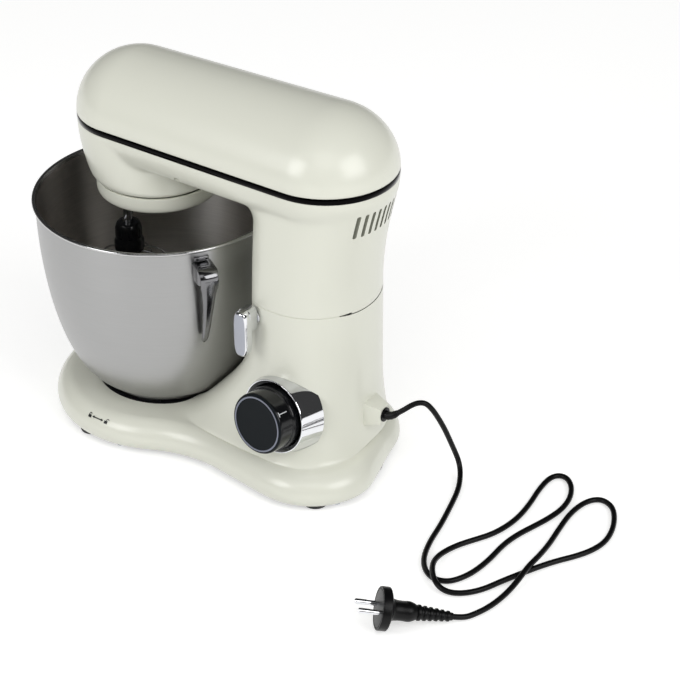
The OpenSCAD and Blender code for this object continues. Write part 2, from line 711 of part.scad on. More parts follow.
// Outline of a gear: teeth, module, addendum and dedendum in modules, and a tooth thinned by play
function gear_outline(teeth, mod, add, ded, play, phase = 0) =
    let (rp = teeth * mod / 2, rb = rp * cos(20), ra = rp + add * mod, rd = rp - ded * mod,
        half = 90 / teeth + inv_angle(rb, rp) - play / rp * 90 / PI,
        radii = [for (k = [0:4]) max(rb, rd) + (ra - max(rb, rd)) * k / 4])
    [for (i = [0:teeth - 1], s = [-1, 1], k = [0:5])
        let (mid = phase + i * 360 / teeth, j = s < 0 ? k : 5 - k, r = j == 0 ? rd : radii[j - 1],
            a = mid + s * (half - inv_angle(rb, r))) r * [cos(a), sin(a)]];

main_gear_z = [275, 283];
module main_gear() {
    color(steel) translate([0, bowl_y, 0]) difference() {
        union() {
            translate([0, 0, main_gear_z[0]]) linear_extrude(main_gear_z[1] - main_gear_z[0])
                polygon(gear_outline(main_teeth, 1.25, 0.8, 1.2, 0.15, 90));
            rod(9, main_gear_z[0] - 1.5, main_gear_z[1] + 2);
        }
        rod(5, 0, far);
        for (a = [0:60:300]) rotate([0, 0, a]) translate([20, 0, 0]) rod(6, 0, far);
    }
}
module lay_pinion() {
    color(steel) translate([0, lay_y, 0]) difference() {
        translate([0, 0, main_gear_z[0] - 1]) linear_extrude(main_gear_z[1] - main_gear_z[0] + 2)
            polygon(gear_outline(lay_teeth, 1.25, 0.8, 1.2, 0.15, 270 + 180 / lay_teeth));
        rod(4, 0, far);
    }
}
module layshaft() {
    color(steel) translate([0, lay_y, 0]) rod(4, 269.8, 315);
}
ring_z = [230.5, 240.5];
// Frame on the bowl axis, turned so that the whisk stands along its -Y
module at_planet_drive() {
    translate([0, bowl_y, 0]) rotate([0, 0, planet_turn]) children();
}
module ring_gear() {
    color(steel) at_planet_drive() difference() {
        union() {
            rod(50.8, ring_z[0], ring_z[1]);
            tube(50.8, 47, ring_z[1], boss_z);
        }
        translate([0, 0, ring_z[0] - 1]) linear_extrude(ring_z[1] - ring_z[0] + 2)
            polygon(gear_outline(ring_teeth, 2, 1.15, 0.6, -0.35, -90));
    }
}
module planet_pinion() {
    color(steel) at_whisk() difference() {
        translate([0, 0, ring_z[0] + 0.5]) linear_extrude(ring_z[1] - ring_z[0] - 1)
            polygon(gear_outline(planet_teeth, 2, 0.8, 1.1, 0.15, -90));
        rod(4, 0, far);
    }
}

// ---------- chassis and shafts ----------

module chassis_plate() {
    color(steel) difference() {
        union() {
            translate([0, 0, pan_z + 3]) linear_extrude(3) polygon(head_outline(25));
            translate([0, lay_y, 0]) rod(8, pan_z + 3, pan_z + 7);
        }
        translate([0, bowl_y, 0]) rod(10, 0, far);
        translate([0, lay_y, 0]) rod(4.05, pan_z + 3.5, far);
        translate([0, motor_y, 0]) rod(4.05, 0, far);
        for (p = bolt_spots) translate([p[0], motor_y + p[1], 0]) rod(2, 0, far);
        // air passages over the fan
        for (a = [0:45:315]) translate([0, motor_y, 0]) rotate([0, 0, a]) translate([22, 0, 0]) rod(6, 0, far);
    }
}
module gear_bridge() {
    color(steel) difference() {
        union() {
            translate([0, 0, 288]) linear_extrude(4) polygon(capsule(bowl_y, 14, lay_y, 14.1));
            for (p = [[26, lay_y], [-26, lay_y], [0, bowl_y - 43]]) translate([p[0], p[1], 0]) rod(5, pan_z + 6, 292);
            box([-26, lay_y - 5, 288], [26, lay_y + 5, 292]);
            box([-5, bowl_y - 43, 288], [5, bowl_y, 292]);
        }
        translate([0, bowl_y, 0]) rod(5.05, 0, far);
        translate([0, lay_y, 0]) rod(4.05, 0, far);
    }
}
module main_bush() {
    color(brass) translate([0, bowl_y, 0]) {
        tube(9.9, 5.05, boss_z, pan_z + 7);
        tube(11.9, 9.9, boss_z, boss_z + 3);
    }
}
cap_z = 222.8;
module main_shaft() {
    color(steel) translate([0, bowl_y, 0]) rod(5, cap_z + 3, 291);
}
module planet_carrier() {
    color(steel) at_planet_drive() difference() {
        union() {
            rod(12, cap_z + 3, 238);
            translate([0, 0, cap_z + 3]) linear_extrude(2.4) polygon(capsule(-planet_offset, 11.9, 14, 20));
        }
        rod(5, 0, far);
        translate([0, -planet_offset, 0]) rod(6, 0, far);
    }
}
module carrier_cap() {
    color(cream) at_planet_drive() difference() {
        rotate_extrude($fn = 120) polygon([[0, cap_z], [51, cap_z], [54, cap_z + 1.2], [55, cap_z + 4],
            [55.2, boss_low - 0.6], [52.6, boss_low - 0.6], [52.4, cap_z + 5], [50, cap_z + 3], [0, cap_z + 3]]);
        translate([0, -planet_offset, 0]) rod(7, 0, far);
    }
}
module spindle_bush() {
    color(brass) at_whisk() {
        tube(6, 4.05, cap_z - 1, ring_z[0]);
        tube(7, 5.9, cap_z - 1, cap_z + 3);
    }
}

// ---------- whisk ----------

whisk_low = 54;
whisk_mid = 105;
hub_low = 150;
module at_whisk() {
    at_planet_drive() translate([0, -planet_offset, 0]) children();
}
module beater_shaft() {
    color(steel) at_whisk() difference() {
        rod(4, 166, ring_z[1]);
        x_rod(1.5, -far, far, 0, 184);
    }
}
module cross_pin() {
    color(steel) at_whisk() x_rod(1.5, -8, 8, 0, 184);
}
module whisk_hub() {
    color(black) at_whisk() difference() {
        rotate_extrude($fn = 64) polygon([[0, hub_low - 4], [8.8, hub_low - 4], [9, hub_low], [12.5, hub_low],
            [13.5, hub_low + 3], [13.5, hub_low + 10], [11.5, hub_low + 14], [11, 174], [9.5, 179], [0, 179]]);
        rod(4.02, 165, far);
    }
}
wire_r = 0.9;
wire_loops = 5;
function whisk_half(k) = concat(
    [for (t = [0:15:75]) [9.1 + (whisk_r - 9.1) * sin(t), whisk_mid + (hub_low - 1.6 - whisk_mid) * cos(t)]],
    [for (t = [0:15:75]) [whisk_r * cos(t), whisk_mid - (whisk_mid - whisk_low - 2.1 * k) * sin(t)]]);
function whisk_path(k) = let (h = whisk_half(k)) concat(h, [[0, whisk_low + 2.1 * k]],
    [for (i = [len(h) - 1:-1:0]) [-h[i][0], h[i][1]]]);
module whisk_wires() {
    color(steel) at_whisk() for (k = [0:wire_loops - 1]) rotate([0, 0, k * 180 / wire_loops + 12])
        sweep([for (p = whisk_path(k)) [p[0], 0, p[1]]], wire_r, 6, [0, 1, 0]);
}

// ---------- bowl ----------

bowl_low = 37.6;
wall_top = 207;
// Outer profile of the bowl: a quarter ellipse from the floor's edge up to the wall
function bowl_profile(inset) = [for (t = [0:6:90])
    [bowl_floor_r + (bowl_r - bowl_floor_r - inset) * sin(t), wall_top - (wall_top - bowl_low - inset) * cos(t)]];
module bowl() {
    color(steel) translate([0, bowl_y, 0]) {
        rotate_extrude($fn = 120) polygon(concat([[0, bowl_low]], bowl_profile(0),
            [for (i = [15:-1:0]) bowl_profile(sheet)[i]], [[0, bowl_low + sheet]]));
        // rolled rim
        rotate_extrude($fn = 120) polygon(concat(
            [[bowl_r - sheet, wall_top - 0.01], [bowl_r, wall_top - 0.01]],
            [for (a = [-60:20:180]) [bowl_r + 1 + 3.2 * cos(a), bowl_top - 3.6 + 3.6 * sin(a)]]));
    }
}
module bowl_foot() {
    color(steel) translate([0, bowl_y, 0]) {
        tube(54, 50, seat_z + 3.4, bowl_low);
        for (a = tab_angles) sector(53.5, 59.5, 22.5, 26.5, a + 4, a + 26);
    }
}
handle_out = 146;
handle_top = 205;
handle_low = 122;
function handle_line(off) = concat(
    [[bowl_r - 6, handle_top + off]],
    [for (a = [90:-15:-10]) [handle_out - 12 + (12 + off) * cos(a), handle_top - 12 + (12 + off) * sin(a)]],
    [for (t = [0.25:0.25:1])
        [handle_out - 1 + off - 33.3 * t * t, handle_top - 20 - (handle_top - 20 - handle_low + off) * t]]);
module bowl_handle() {
    color(chrome) translate([0, bowl_y, 0]) difference() {
        intersection() {
            rotate([0, 0, handle_angle]) rotate([90, 0, 0]) translate([0, 0, -10]) linear_extrude(20)
                polygon(concat(handle_line(0),
                    [for (i = [len(handle_line(-2.6)) - 1:-1:0]) handle_line(-2.6)[i]]));
            // wide at the knuckle, narrow at the lower end
            rotate([0, 0, handle_angle]) rotate([90, 0, 90]) linear_extrude(far)
                polygon([[-4.2, 110], [4.2, 110], [5.2, 150], [8.3, 190],
                    [8.3, 210], [-8.3, 210], [-8.3, 190], [-5.2, 150]]);
        }
        rotate_extrude($fn = 120) polygon(concat([[0, bowl_low]], bowl_profile(0), [[bowl_r, 230], [0, 230]]));
    }
}

base_housing();
bottom_cover();
rubber_feet();
base_screws();
bowl_seat();
hinge_bracket();
hinge_pin();
knob_bezel();
speed_switch();
control_board();
latch_bush();
latch_spring();
cord_gland();
power_cord();
plug_body();
plug_pins();
head_shell();
top_cover();
trim_strip();
head_screws();
head_hinge();
latch_strike();
chassis_plate();
gear_bridge();
ring_gear();
main_bush();
motor_stator();
field_coils();
motor_bracket();
motor_bolts();
brush_holders();
drive_belt();
motor_shaft();
armature();
commutator();
cooling_fan();
motor_pulley();
layshaft();
lay_pinion();
belt_pulley();
main_shaft();
main_gear();
planet_carrier();
carrier_cap();
spindle_bush();
beater_shaft();
planet_pinion();
cross_pin();
whisk_hub();
whisk_wires();
speed_knob();
knob_ring();
knob_spindle();
release_lever();
latch_shaft();
bowl();
bowl_foot();
bowl_handle();
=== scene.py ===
import math
import bpy
import bmesh
import numpy as np
from mathutils import Matrix, Vector


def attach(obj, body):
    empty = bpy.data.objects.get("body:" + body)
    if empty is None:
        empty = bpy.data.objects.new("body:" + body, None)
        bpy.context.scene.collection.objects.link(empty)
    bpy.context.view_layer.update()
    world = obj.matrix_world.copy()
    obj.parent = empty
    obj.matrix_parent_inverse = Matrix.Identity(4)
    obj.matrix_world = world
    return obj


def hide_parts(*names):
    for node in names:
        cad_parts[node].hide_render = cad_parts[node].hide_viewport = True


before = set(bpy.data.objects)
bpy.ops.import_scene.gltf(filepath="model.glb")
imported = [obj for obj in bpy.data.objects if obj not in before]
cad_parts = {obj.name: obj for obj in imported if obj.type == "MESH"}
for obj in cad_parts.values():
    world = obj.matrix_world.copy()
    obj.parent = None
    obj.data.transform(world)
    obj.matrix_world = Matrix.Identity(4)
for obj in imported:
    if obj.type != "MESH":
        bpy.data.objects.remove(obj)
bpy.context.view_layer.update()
mm = 0.001
bowlY = -70  # the bowl and the carrier turn about the upright axis here
bowlAxis = (0, bowlY)
hinge = (146, 177)  # y and z of the head's hinge pin
leverPin = (75, 164)  # y and z of the lever's shaft
outletZ = 65


def newObject(name, data):
    ob = bpy.data.objects.new(name, data)
    bpy.context.scene.collection.objects.link(ob)
    return ob


# ---- camera ----

camera = {"at": (1474.93, 1120.75, 1237.66), "right": (-0.536223, 0.844077, 0.0),
          "up": (-0.462571, -0.293861, 0.836465), "roll": 0.4788, "lens": 126.149, "shift": (-0.08361, 0.07692)}


def placeCamera(c):
    right, up = Vector(c["right"]), Vector(c["up"])
    back = right.cross(up)
    turn = math.radians(c["roll"])
    r2 = right * math.cos(turn) + up * math.sin(turn)
    u2 = up * math.cos(turn) - right * math.sin(turn)
    data = bpy.data.cameras.new("photoCamera")
    data.lens, data.sensor_width = c["lens"], 36
    data.shift_x, data.shift_y = c["shift"]
    data.clip_end = 30
    ob = newObject("photoCamera", data)
    m = Matrix((r2, u2, back)).transposed().to_4x4()
    m.translation = Vector(c["at"]) * mm
    ob.matrix_world = m
    bpy.context.scene.camera = ob


placeCamera(camera)
print("camera placed")


# ---- working helpers ----

def mode(name):
    bpy.ops.object.mode_set(mode=name)


def deselectAll():
    if bpy.context.object and bpy.context.object.mode != "OBJECT":
        mode("OBJECT")
    bpy.ops.object.select_all(action="DESELECT")


def pick(ob):
    deselectAll()
    ob.select_set(True)
    bpy.context.view_layer.objects.active = ob


def applyAll(ob):
    pick(ob)
    for m in list(ob.modifiers):
        bpy.ops.object.modifier_apply(modifier=m.name)


def settle(ob):
    pick(ob)
    bpy.ops.object.transform_apply(location=True, rotation=True, scale=True)


def smooth(ob, angle):
    pick(ob)
    bpy.ops.object.shade_smooth_by_angle(angle=math.radians(angle))


def selectVerts(ob, test):
    mode("OBJECT")
    for p in ob.data.polygons:
        p.select = False
    for e in ob.data.edges:
        e.select = False
    for v in ob.data.vertices:
        v.select = bool(test(v.co))
    mode("EDIT")
    bpy.ops.mesh.select_mode(type="VERT")


def bevel(ob, width, segments=2, angle=40):
    m = ob.modifiers.new("softEdges", "BEVEL")
    m.width, m.segments, m.limit_method, m.angle_limit = width * mm, segments, "ANGLE", math.radians(angle)
    m.use_clamp_overlap = True
    applyAll(ob)


def cut(ob, cutters, mode="DIFFERENCE"):
    for c in cutters:
        m = ob.modifiers.new("cut", "BOOLEAN")
        m.operation, m.solver, m.object = mode, "EXACT", c
        applyAll(ob)
        bpy.data.objects.remove(c, do_unlink=True)


def recalc(ob, mergeAt=0.01):
    pick(ob)
    mode("EDIT")
    bpy.ops.mesh.select_all(action="SELECT")
    bpy.ops.mesh.remove_doubles(threshold=mergeAt * mm)
    bpy.ops.mesh.normals_make_consistent(inside=False)
    mode("OBJECT")


def rename(ob, name):
    ob.name = ob.data.name = name
    return ob


def level(outline, z):
    return [(x, y, z) for x, y in outline]


def turns(count):
    return [2 * math.pi * k / count for k in range(count)]


# Both halves of a curve that bulges more than a circle as the power falls below one
def squared(value, power):
    return math.copysign(abs(value) ** power, value)


# A ring is extruded up through a list of outlines, each a list of points in mm
def lofted(name, rings, capLow=True, capHigh=True):
    n = len(rings[0])
    deselectAll()
    bpy.ops.mesh.primitive_circle_add(vertices=n, radius=0.01, fill_type="NOTHING", location=(0, 0, 0))
    ob = rename(bpy.context.object, name)
    mode("EDIT")
    bm = bmesh.from_edit_mesh(ob.data)
    bm.verts.ensure_lookup_table()
    order = list(bm.verts)
    for v, p in zip(order, rings[0]):
        v.co = Vector(p) * mm
    if capLow:
        bpy.ops.mesh.select_all(action="SELECT")
        bmesh.ops.contextual_create(bm, geom=[e for e in bm.edges])
    for ring in rings[1:]:
        new = [bm.verts.new(Vector(p) * mm) for p in ring]
        for i in range(n):
            j = (i + 1) % n
            bm.faces.new((order[i], order[j], new[j], new[i]))
        order = new
    if capHigh:
        bm.faces.new(order)
    bmesh.update_edit_mesh(ob.data)
    mode("OBJECT")
    recalc(ob)
    return ob


# Turned piece: a circle is extruded and resized along a profile of (radius, z) in mm, about a point
def turned(name, profile, at=(0, 0), segments=128):
    rings = [[(at[0] + r * math.cos(a), at[1] + r * math.sin(a), z) for a in turns(segments)] for r, z in profile]
    closed = profile[0] == profile[-1]
    return lofted(name, rings, not closed and profile[0][0] > 1e-6, not closed and profile[-1][0] > 1e-6)


# Plain upright rod, mostly as a cutter
def rod(radius, low, high, at=(0, 0), segments=64):
    return turned("c", [(0, low), (radius, low), (radius, high), (0, high)], at, segments)


# Corners of a profile are rounded: a point's third number is its own radius, and 0 keeps it sharp
def rounded(points, radius, steps=5):
    out = []
    n = len(points)
    for i, p in enumerate(points):
        if i in (0, n - 1) or (len(p) > 2 and p[2] == 0):
            out.append((p[0], p[1]))
            continue
        r = p[2] if len(p) > 2 else radius
        a, b = Vector(points[i - 1][:2]), Vector(points[i + 1][:2])
        c = Vector(p[:2])
        ra, rb = min(r, (a - c).length * 0.48), min(r, (b - c).length * 0.48)
        s, e = c + (a - c).normalized() * ra, c + (b - c).normalized() * rb
        for k in range(steps + 1):
            t = k / steps
            q = s * (1 - t) ** 2 + c * 2 * t * (1 - t) + e * t * t
            out.append((q.x, q.y))
    return out


def boxAt(low, high):
    deselectAll()
    mid = [(a + b) / 2 * mm for a, b in zip(low, high)]
    bpy.ops.mesh.primitive_cube_add(size=1, location=mid)
    ob = bpy.context.object
    ob.scale = [(b - a) * mm for a, b in zip(low, high)]
    settle(ob)
    return ob


def spun(at, *spins):
    m = Matrix.Translation(Vector(at) * mm)
    for degrees, axis in spins:
        m = m @ Matrix.Rotation(math.radians(degrees), 4, axis)
    return m


def placed(ob, at, *spins):
    ob.matrix_world = spun(at, *spins)
    settle(ob)
    return ob


def alongX(ob, at):
    return placed(ob, (0, at[0], at[1]), (90, "Y"))


knobAt = Vector((64, 102, 76))
knobFrame = spun(knobAt, (-7, "Z"), (83, "Y"))


def onKnobAxis(ob):
    ob.matrix_world = knobFrame
    settle(ob)
    return ob


def joinAll(name, obs):
    deselectAll()
    for o in obs:
        o.select_set(True)
    bpy.context.view_layer.objects.active = obs[0]
    if len(obs) > 1:
        bpy.ops.object.join()
    return rename(bpy.context.object, name)


# ---- shader groups ----

def newGroup(name, ins, outs):
    g = bpy.data.node_groups.new(name, "ShaderNodeTree")
    for kind, label, value in ins:
        s = g.interface.new_socket(label, in_out="INPUT", socket_type="NodeSocket" + kind)
        if value is not None:
            s.default_value = value
    for kind, label in outs:
        g.interface.new_socket(label, in_out="OUTPUT", socket_type="NodeSocket" + kind)
    return g, g.nodes.new("NodeGroupInput"), g.nodes.new("NodeGroupOutput")


def node(tree, kind, ins=None, **props):
    n = tree.nodes.new("ShaderNode" + kind)
    for k, v in props.items():
        setattr(n, k, v)
    for k, v in (ins or {}).items():
        if isinstance(v, bpy.types.NodeSocket):
            tree.links.new(v, n.inputs[k])
        else:
            n.inputs[k].default_value = v
    return n


def math2(tree, op, a, b=0.0):
    return node(tree, "Math", {0: a, 1: b}, operation=op).outputs[0]


def remap(tree, value, a, b, low, high):
    ins = {"Value": value, "From Min": a, "From Max": b, "To Min": low, "To Max": high}
    return node(tree, "MapRange", ins).outputs[0]


# Moulded or painted surface: a fine orange-peel normal
def makeGrain():
    g, i, o = newGroup("mouldGrain", [("Float", "Scale", 400.0), ("Float", "Depth", 0.1)], [("Vector", "Normal")])
    at = node(g, "TexCoord").outputs["Object"]
    n = node(g, "TexNoise", {"Vector": at, "Scale": i.outputs["Scale"], "Detail": 3.0, "Roughness": 0.6})
    b = node(g, "Bump", {"Strength": i.outputs["Depth"], "Distance": 0.0003, "Height": n.outputs["Fac"]})
    g.links.new(b.outputs["Normal"], o.inputs["Normal"])
    return g


# Slow change of tone and gloss, as from handling
def makeHandling():
    g, i, o = newGroup("handling", [("Color", "Color", (0.5, 0.5, 0.5, 1)), ("Float", "Tone", 0.03),
                                    ("Float", "Scale", 9.0), ("Float", "Gloss", 0.3), ("Float", "Spread", 0.05)],
                       [("Color", "Color"), ("Float", "Roughness")])
    at = node(g, "TexCoord").outputs["Object"]
    finer = math2(g, "MULTIPLY", i.outputs["Scale"], 7.0)
    n = node(g, "TexNoise", {"Vector": at, "Scale": i.outputs["Scale"], "Detail": 5.0, "Roughness": 0.55})
    f = node(g, "TexNoise", {"Vector": at, "Scale": finer, "Detail": 4.0})
    up = math2(g, "MULTIPLY", math2(g, "SUBTRACT", n.outputs["Fac"], 0.5), i.outputs["Tone"])
    val = math2(g, "ADD", 1.0, math2(g, "MULTIPLY", up, 2.0))
    h = node(g, "HueSaturation", {"Color": i.outputs["Color"], "Value": val})
    mixed = math2(g, "ADD", math2(g, "MULTIPLY", n.outputs["Fac"], 0.6), math2(g, "MULTIPLY", f.outputs["Fac"], 0.4))
    swing = math2(g, "MULTIPLY", i.outputs["Spread"], 2.0)
    r = math2(g, "ADD", i.outputs["Gloss"], math2(g, "MULTIPLY", math2(g, "SUBTRACT", mixed, 0.5), swing))
    g.links.new(h.outputs["Color"], o.inputs["Color"])
    g.links.new(r, o.inputs["Roughness"])
    return g


# Lines turned round an upright axis through a point, as brushing and lathe marks are
def makeTurnLines():
    g, i, o = newGroup("turnedLines", [("Vector", "Centre", (0.0, 0.0, 0.0)), ("Float", "Scale", 900.0),
                                       ("Float", "Depth", 0.2)], [("Vector", "Normal"), ("Float", "Lines")])
    t = node(g, "TexCoord")
    v = node(g, "VectorMath", {0: t.outputs["Object"], 1: i.outputs["Centre"]}, operation="SUBTRACT").outputs[0]
    s = node(g, "SeparateXYZ", {0: v})
    x, y, z = s.outputs
    r = math2(g, "SQRT", math2(g, "ADD", math2(g, "MULTIPLY", x, x), math2(g, "MULTIPLY", y, y)))
    safe = math2(g, "MAXIMUM", r, 0.0001)
    c = node(g, "CombineXYZ", {0: math2(g, "MULTIPLY", math2(g, "DIVIDE", x, safe), 2.5),
                               1: math2(g, "MULTIPLY", math2(g, "DIVIDE", y, safe), 2.5),
                               2: math2(g, "MULTIPLY", z, i.outputs["Scale"])})
    n = node(g, "TexNoise", {"Vector": c.outputs[0], "W": math2(g, "MULTIPLY", r, i.outputs["Scale"]), "Scale": 1.0,
                             "Detail": 3.0, "Roughness": 0.7}, noise_dimensions="4D")
    b = node(g, "Bump", {"Strength": i.outputs["Depth"], "Distance": 0.0002, "Height": n.outputs["Fac"]})
    g.links.new(b.outputs["Normal"], o.inputs["Normal"])
    g.links.new(n.outputs["Fac"], o.inputs["Lines"])
    return g


grainGroup, handlingGroup, linesGroup = makeGrain(), makeHandling(), makeTurnLines()


def useGroup(tree, group, ins):
    n = tree.nodes.new("ShaderNodeGroup")
    n.node_tree = group
    for k, v in ins.items():
        n.inputs[k].default_value = v
    return n


def startMaterial(name, plain):
    m = bpy.data.materials.new(name)
    m.use_nodes = True
    t = m.node_tree
    p = t.nodes["Principled BSDF"]
    for k, v in plain.items():
        p.inputs[k].default_value = v
    return m, t, p


def srgb(r, g, b):
    parts = [c / 255 for c in (r, g, b)]
    return tuple(c / 12.92 if c <= 0.04045 else ((c + 0.055) / 1.055) ** 2.4 for c in parts) + (1,)


# Moulded plastic, paint, rubber and enamel
def moulded(name, color, gloss, tone=0.02, grain=500.0, depth=0.06, spread=0.04, scale=9.0, **plain):
    m, t, p = startMaterial(name, plain)
    h = useGroup(t, handlingGroup, {"Color": color, "Tone": tone, "Scale": scale, "Gloss": gloss, "Spread": spread})
    g = useGroup(t, grainGroup, {"Scale": grain, "Depth": depth})
    t.links.new(h.outputs["Color"], p.inputs["Base Color"])
    t.links.new(h.outputs["Roughness"], p.inputs["Roughness"])
    t.links.new(g.outputs["Normal"], p.inputs["Normal"])
    return m


# Metal with brushing or turning lines round an upright axis
def turnedMetal(name, color, gloss, centre=(0, 0), lines=900.0, depth=0.2, tone=0.06, spread=0.06, **plain):
    m, t, p = startMaterial(name, dict(plain, Metallic=1.0))
    h = useGroup(t, handlingGroup, {"Color": color, "Tone": tone, "Scale": 14.0, "Gloss": gloss, "Spread": spread})
    g = useGroup(t, linesGroup, {"Centre": (centre[0] * mm, centre[1] * mm, 0.0), "Scale": lines, "Depth": depth})
    value = remap(t, g.outputs["Lines"], 0.3, 0.7, 1.0 - tone, 1.0 + tone)
    lined = node(t, "HueSaturation", {"Color": h.outputs["Color"], "Value": value})
    swing = math2(t, "MULTIPLY", math2(t, "SUBTRACT", g.outputs["Lines"], 0.5), spread)
    rough = math2(t, "ADD", h.outputs["Roughness"], swing)
    t.links.new(lined.outputs["Color"], p.inputs["Base Color"])
    t.links.new(rough, p.inputs["Roughness"])
    t.links.new(g.outputs["Normal"], p.inputs["Normal"])
    if plain.get("Anisotropic"):
        t.links.new(node(t, "Tangent", direction_type="RADIAL", axis="Z").outputs[0], p.inputs["Tangent"])
    return m


def specular(value):
    return {"Specular IOR Level": value}


def brushed(amount):
    return {"Anisotropic": amount, "Anisotropic Rotation": 0.25}


creamPaint = moulded("creamHousing", srgb(228, 229, 216), 0.3, tone=0.008, grain=900, depth=0.03, spread=0.03,
                     **{"Coat Weight": 0.4, "Coat Roughness": 0.2, "Specular IOR Level": 0.5})
blackMoulded = moulded("blackMoulded", srgb(26, 27, 29), 0.3, tone=0.05, grain=1500, depth=0.05, spread=0.06,
                       **specular(0.3))
blackGloss = moulded("blackGloss", srgb(14, 15, 17), 0.16, tone=0.03, grain=1200, depth=0.02, spread=0.05,
                     **specular(0.35))
knobFaceBlack = moulded("knobFaceBlack", srgb(18, 23, 27), 0.45, tone=0.04, grain=1400, depth=0.03, spread=0.05,
                        **specular(0.1))
rubberBlack = moulded("cordRubber", srgb(11, 11, 12), 0.34, tone=0.05, grain=2200, depth=0.12, spread=0.08,
                      **specular(0.2))
footRubber = moulded("footRubber", srgb(20, 20, 20), 0.62, tone=0.05, grain=1800, depth=0.2, spread=0.08)
chromePlate = moulded("chromePlate", srgb(226, 227, 230), 0.06, tone=0.01, grain=300, depth=0.01, spread=0.03,
                      Metallic=1.0)
# Chrome of the trim strip painted near black: the colour is a painted reflection of a dark room, which the chrome would
# otherwise mirror
trimPaintedDarkReflection = moulded("trimChromePaintedDarkReflection", srgb(14, 13, 14), 0.07, tone=0.01, grain=300, depth=0.01, spread=0.03,
                     Metallic=1.0)
# Darker cream for the vent slots' walls and floors: painted shade standing in for the depth of the slots
ventPaintedShade = moulded("ventPaintedShade", srgb(156, 158, 144), 0.5, tone=0.03, grain=900, depth=0.03)
ringPrint = moulded("knobRing", srgb(126, 130, 144), 0.3, tone=0.02, grain=800, depth=0.02, Metallic=0.6)
leverSatin = moulded("leverSatin", srgb(164, 167, 176), 0.34, tone=0.03, grain=700, depth=0.03, spread=0.05,
                     Metallic=1.0)
handleSteel = moulded("handleSteel", srgb(122, 122, 124), 0.15, tone=0.03, grain=500, depth=0.02, spread=0.05,
                      Metallic=1.0)
bowlSteel = turnedMetal("bowlSteel", srgb(168, 168, 168), 0.3, bowlAxis, lines=1400.0, depth=0.05, tone=0.025,
                        spread=0.04, **brushed(0.7))
bowlInsideSteel = turnedMetal("bowlInsideSteel", srgb(196, 193, 189), 0.38, bowlAxis, lines=1400.0, depth=0.06,
                              tone=0.08, spread=0.05, **brushed(0.9))
bowlRimSteel = turnedMetal("bowlRimSteel", srgb(190, 190, 190), 0.18, bowlAxis, lines=900.0, depth=0.03, tone=0.02,
                           spread=0.03)
shaftSteel = turnedMetal("shaftSteel", srgb(190, 191, 193), 0.2, bowlAxis, lines=2500.0, depth=0.15, tone=0.04)
sheetZinc = moulded("zincSheet", srgb(176, 180, 186), 0.35, tone=0.08, grain=160, depth=0.15, spread=0.1, scale=40.0,
                    Metallic=1.0)
motorAxis = (0, 108)
lamination = turnedMetal("laminatedIron", srgb(112, 114, 118), 0.42, motorAxis, lines=3000.0, depth=0.7, tone=0.2)
copperWire = turnedMetal("copperWinding", srgb(190, 108, 62), 0.3, motorAxis, lines=2600.0, depth=0.8, tone=0.2)
bronzeBush = moulded("sinterBronze", srgb(170, 130, 70), 0.4, tone=0.1, grain=900, depth=0.3, spread=0.1, Metallic=1.0)
boardGreen = moulded("boardGreen", srgb(24, 84, 50), 0.3, tone=0.12, grain=700, depth=0.1, spread=0.08, scale=60.0)
beltRubber = moulded("beltRubber", srgb(28, 28, 30), 0.6, tone=0.06, grain=1500, depth=0.3, spread=0.06)
printInk = moulded("printInk", srgb(26, 28, 28), 0.4, tone=0.04, grain=1200, depth=0.05)
whitePrint = moulded("whitePrint", srgb(214, 216, 218), 0.4, tone=0.03, grain=1200, depth=0.05)


def coat(ob, material):
    ob.data.materials.clear()
    ob.data.materials.append(material)


def finish(ob, material, angle):
    smooth(ob, angle)
    coat(ob, material)


# CAD nodes that keep their own shape, by finish
nodeCoats = {
    blackMoulded: "bottom_cover bowl_seat speed_switch cooling_fan belt_pulley",
    footRubber: "rubber_feet",
    sheetZinc: "base_screws hinge_bracket head_screws head_hinge latch_strike chassis_plate gear_bridge "
               "motor_bracket latch_shaft",
    shaftSteel: "hinge_pin latch_spring ring_gear motor_bolts motor_shaft motor_pulley layshaft lay_pinion "
                "main_shaft main_gear planet_carrier beater_shaft planet_pinion cross_pin knob_spindle",
    boardGreen: "control_board",
    bronzeBush: "main_bush brush_holders spindle_bush",
    lamination: "motor_stator armature",
    copperWire: "field_coils commutator",
    beltRubber: "drive_belt",
    bowlSteel: "bowl_foot",
    chromePlate: "plug_pins"}


def coatNodes():
    for material, names in nodeCoats.items():
        for ob in [bpy.data.objects[name] for name in names.split()]:
            if not ob.material_slots:
                ob.data.materials.append(material)
            for k in range(len(ob.material_slots)):
                ob.material_slots[k].material = material


coatNodes()
print("materials made")


# ---- mains lead ----

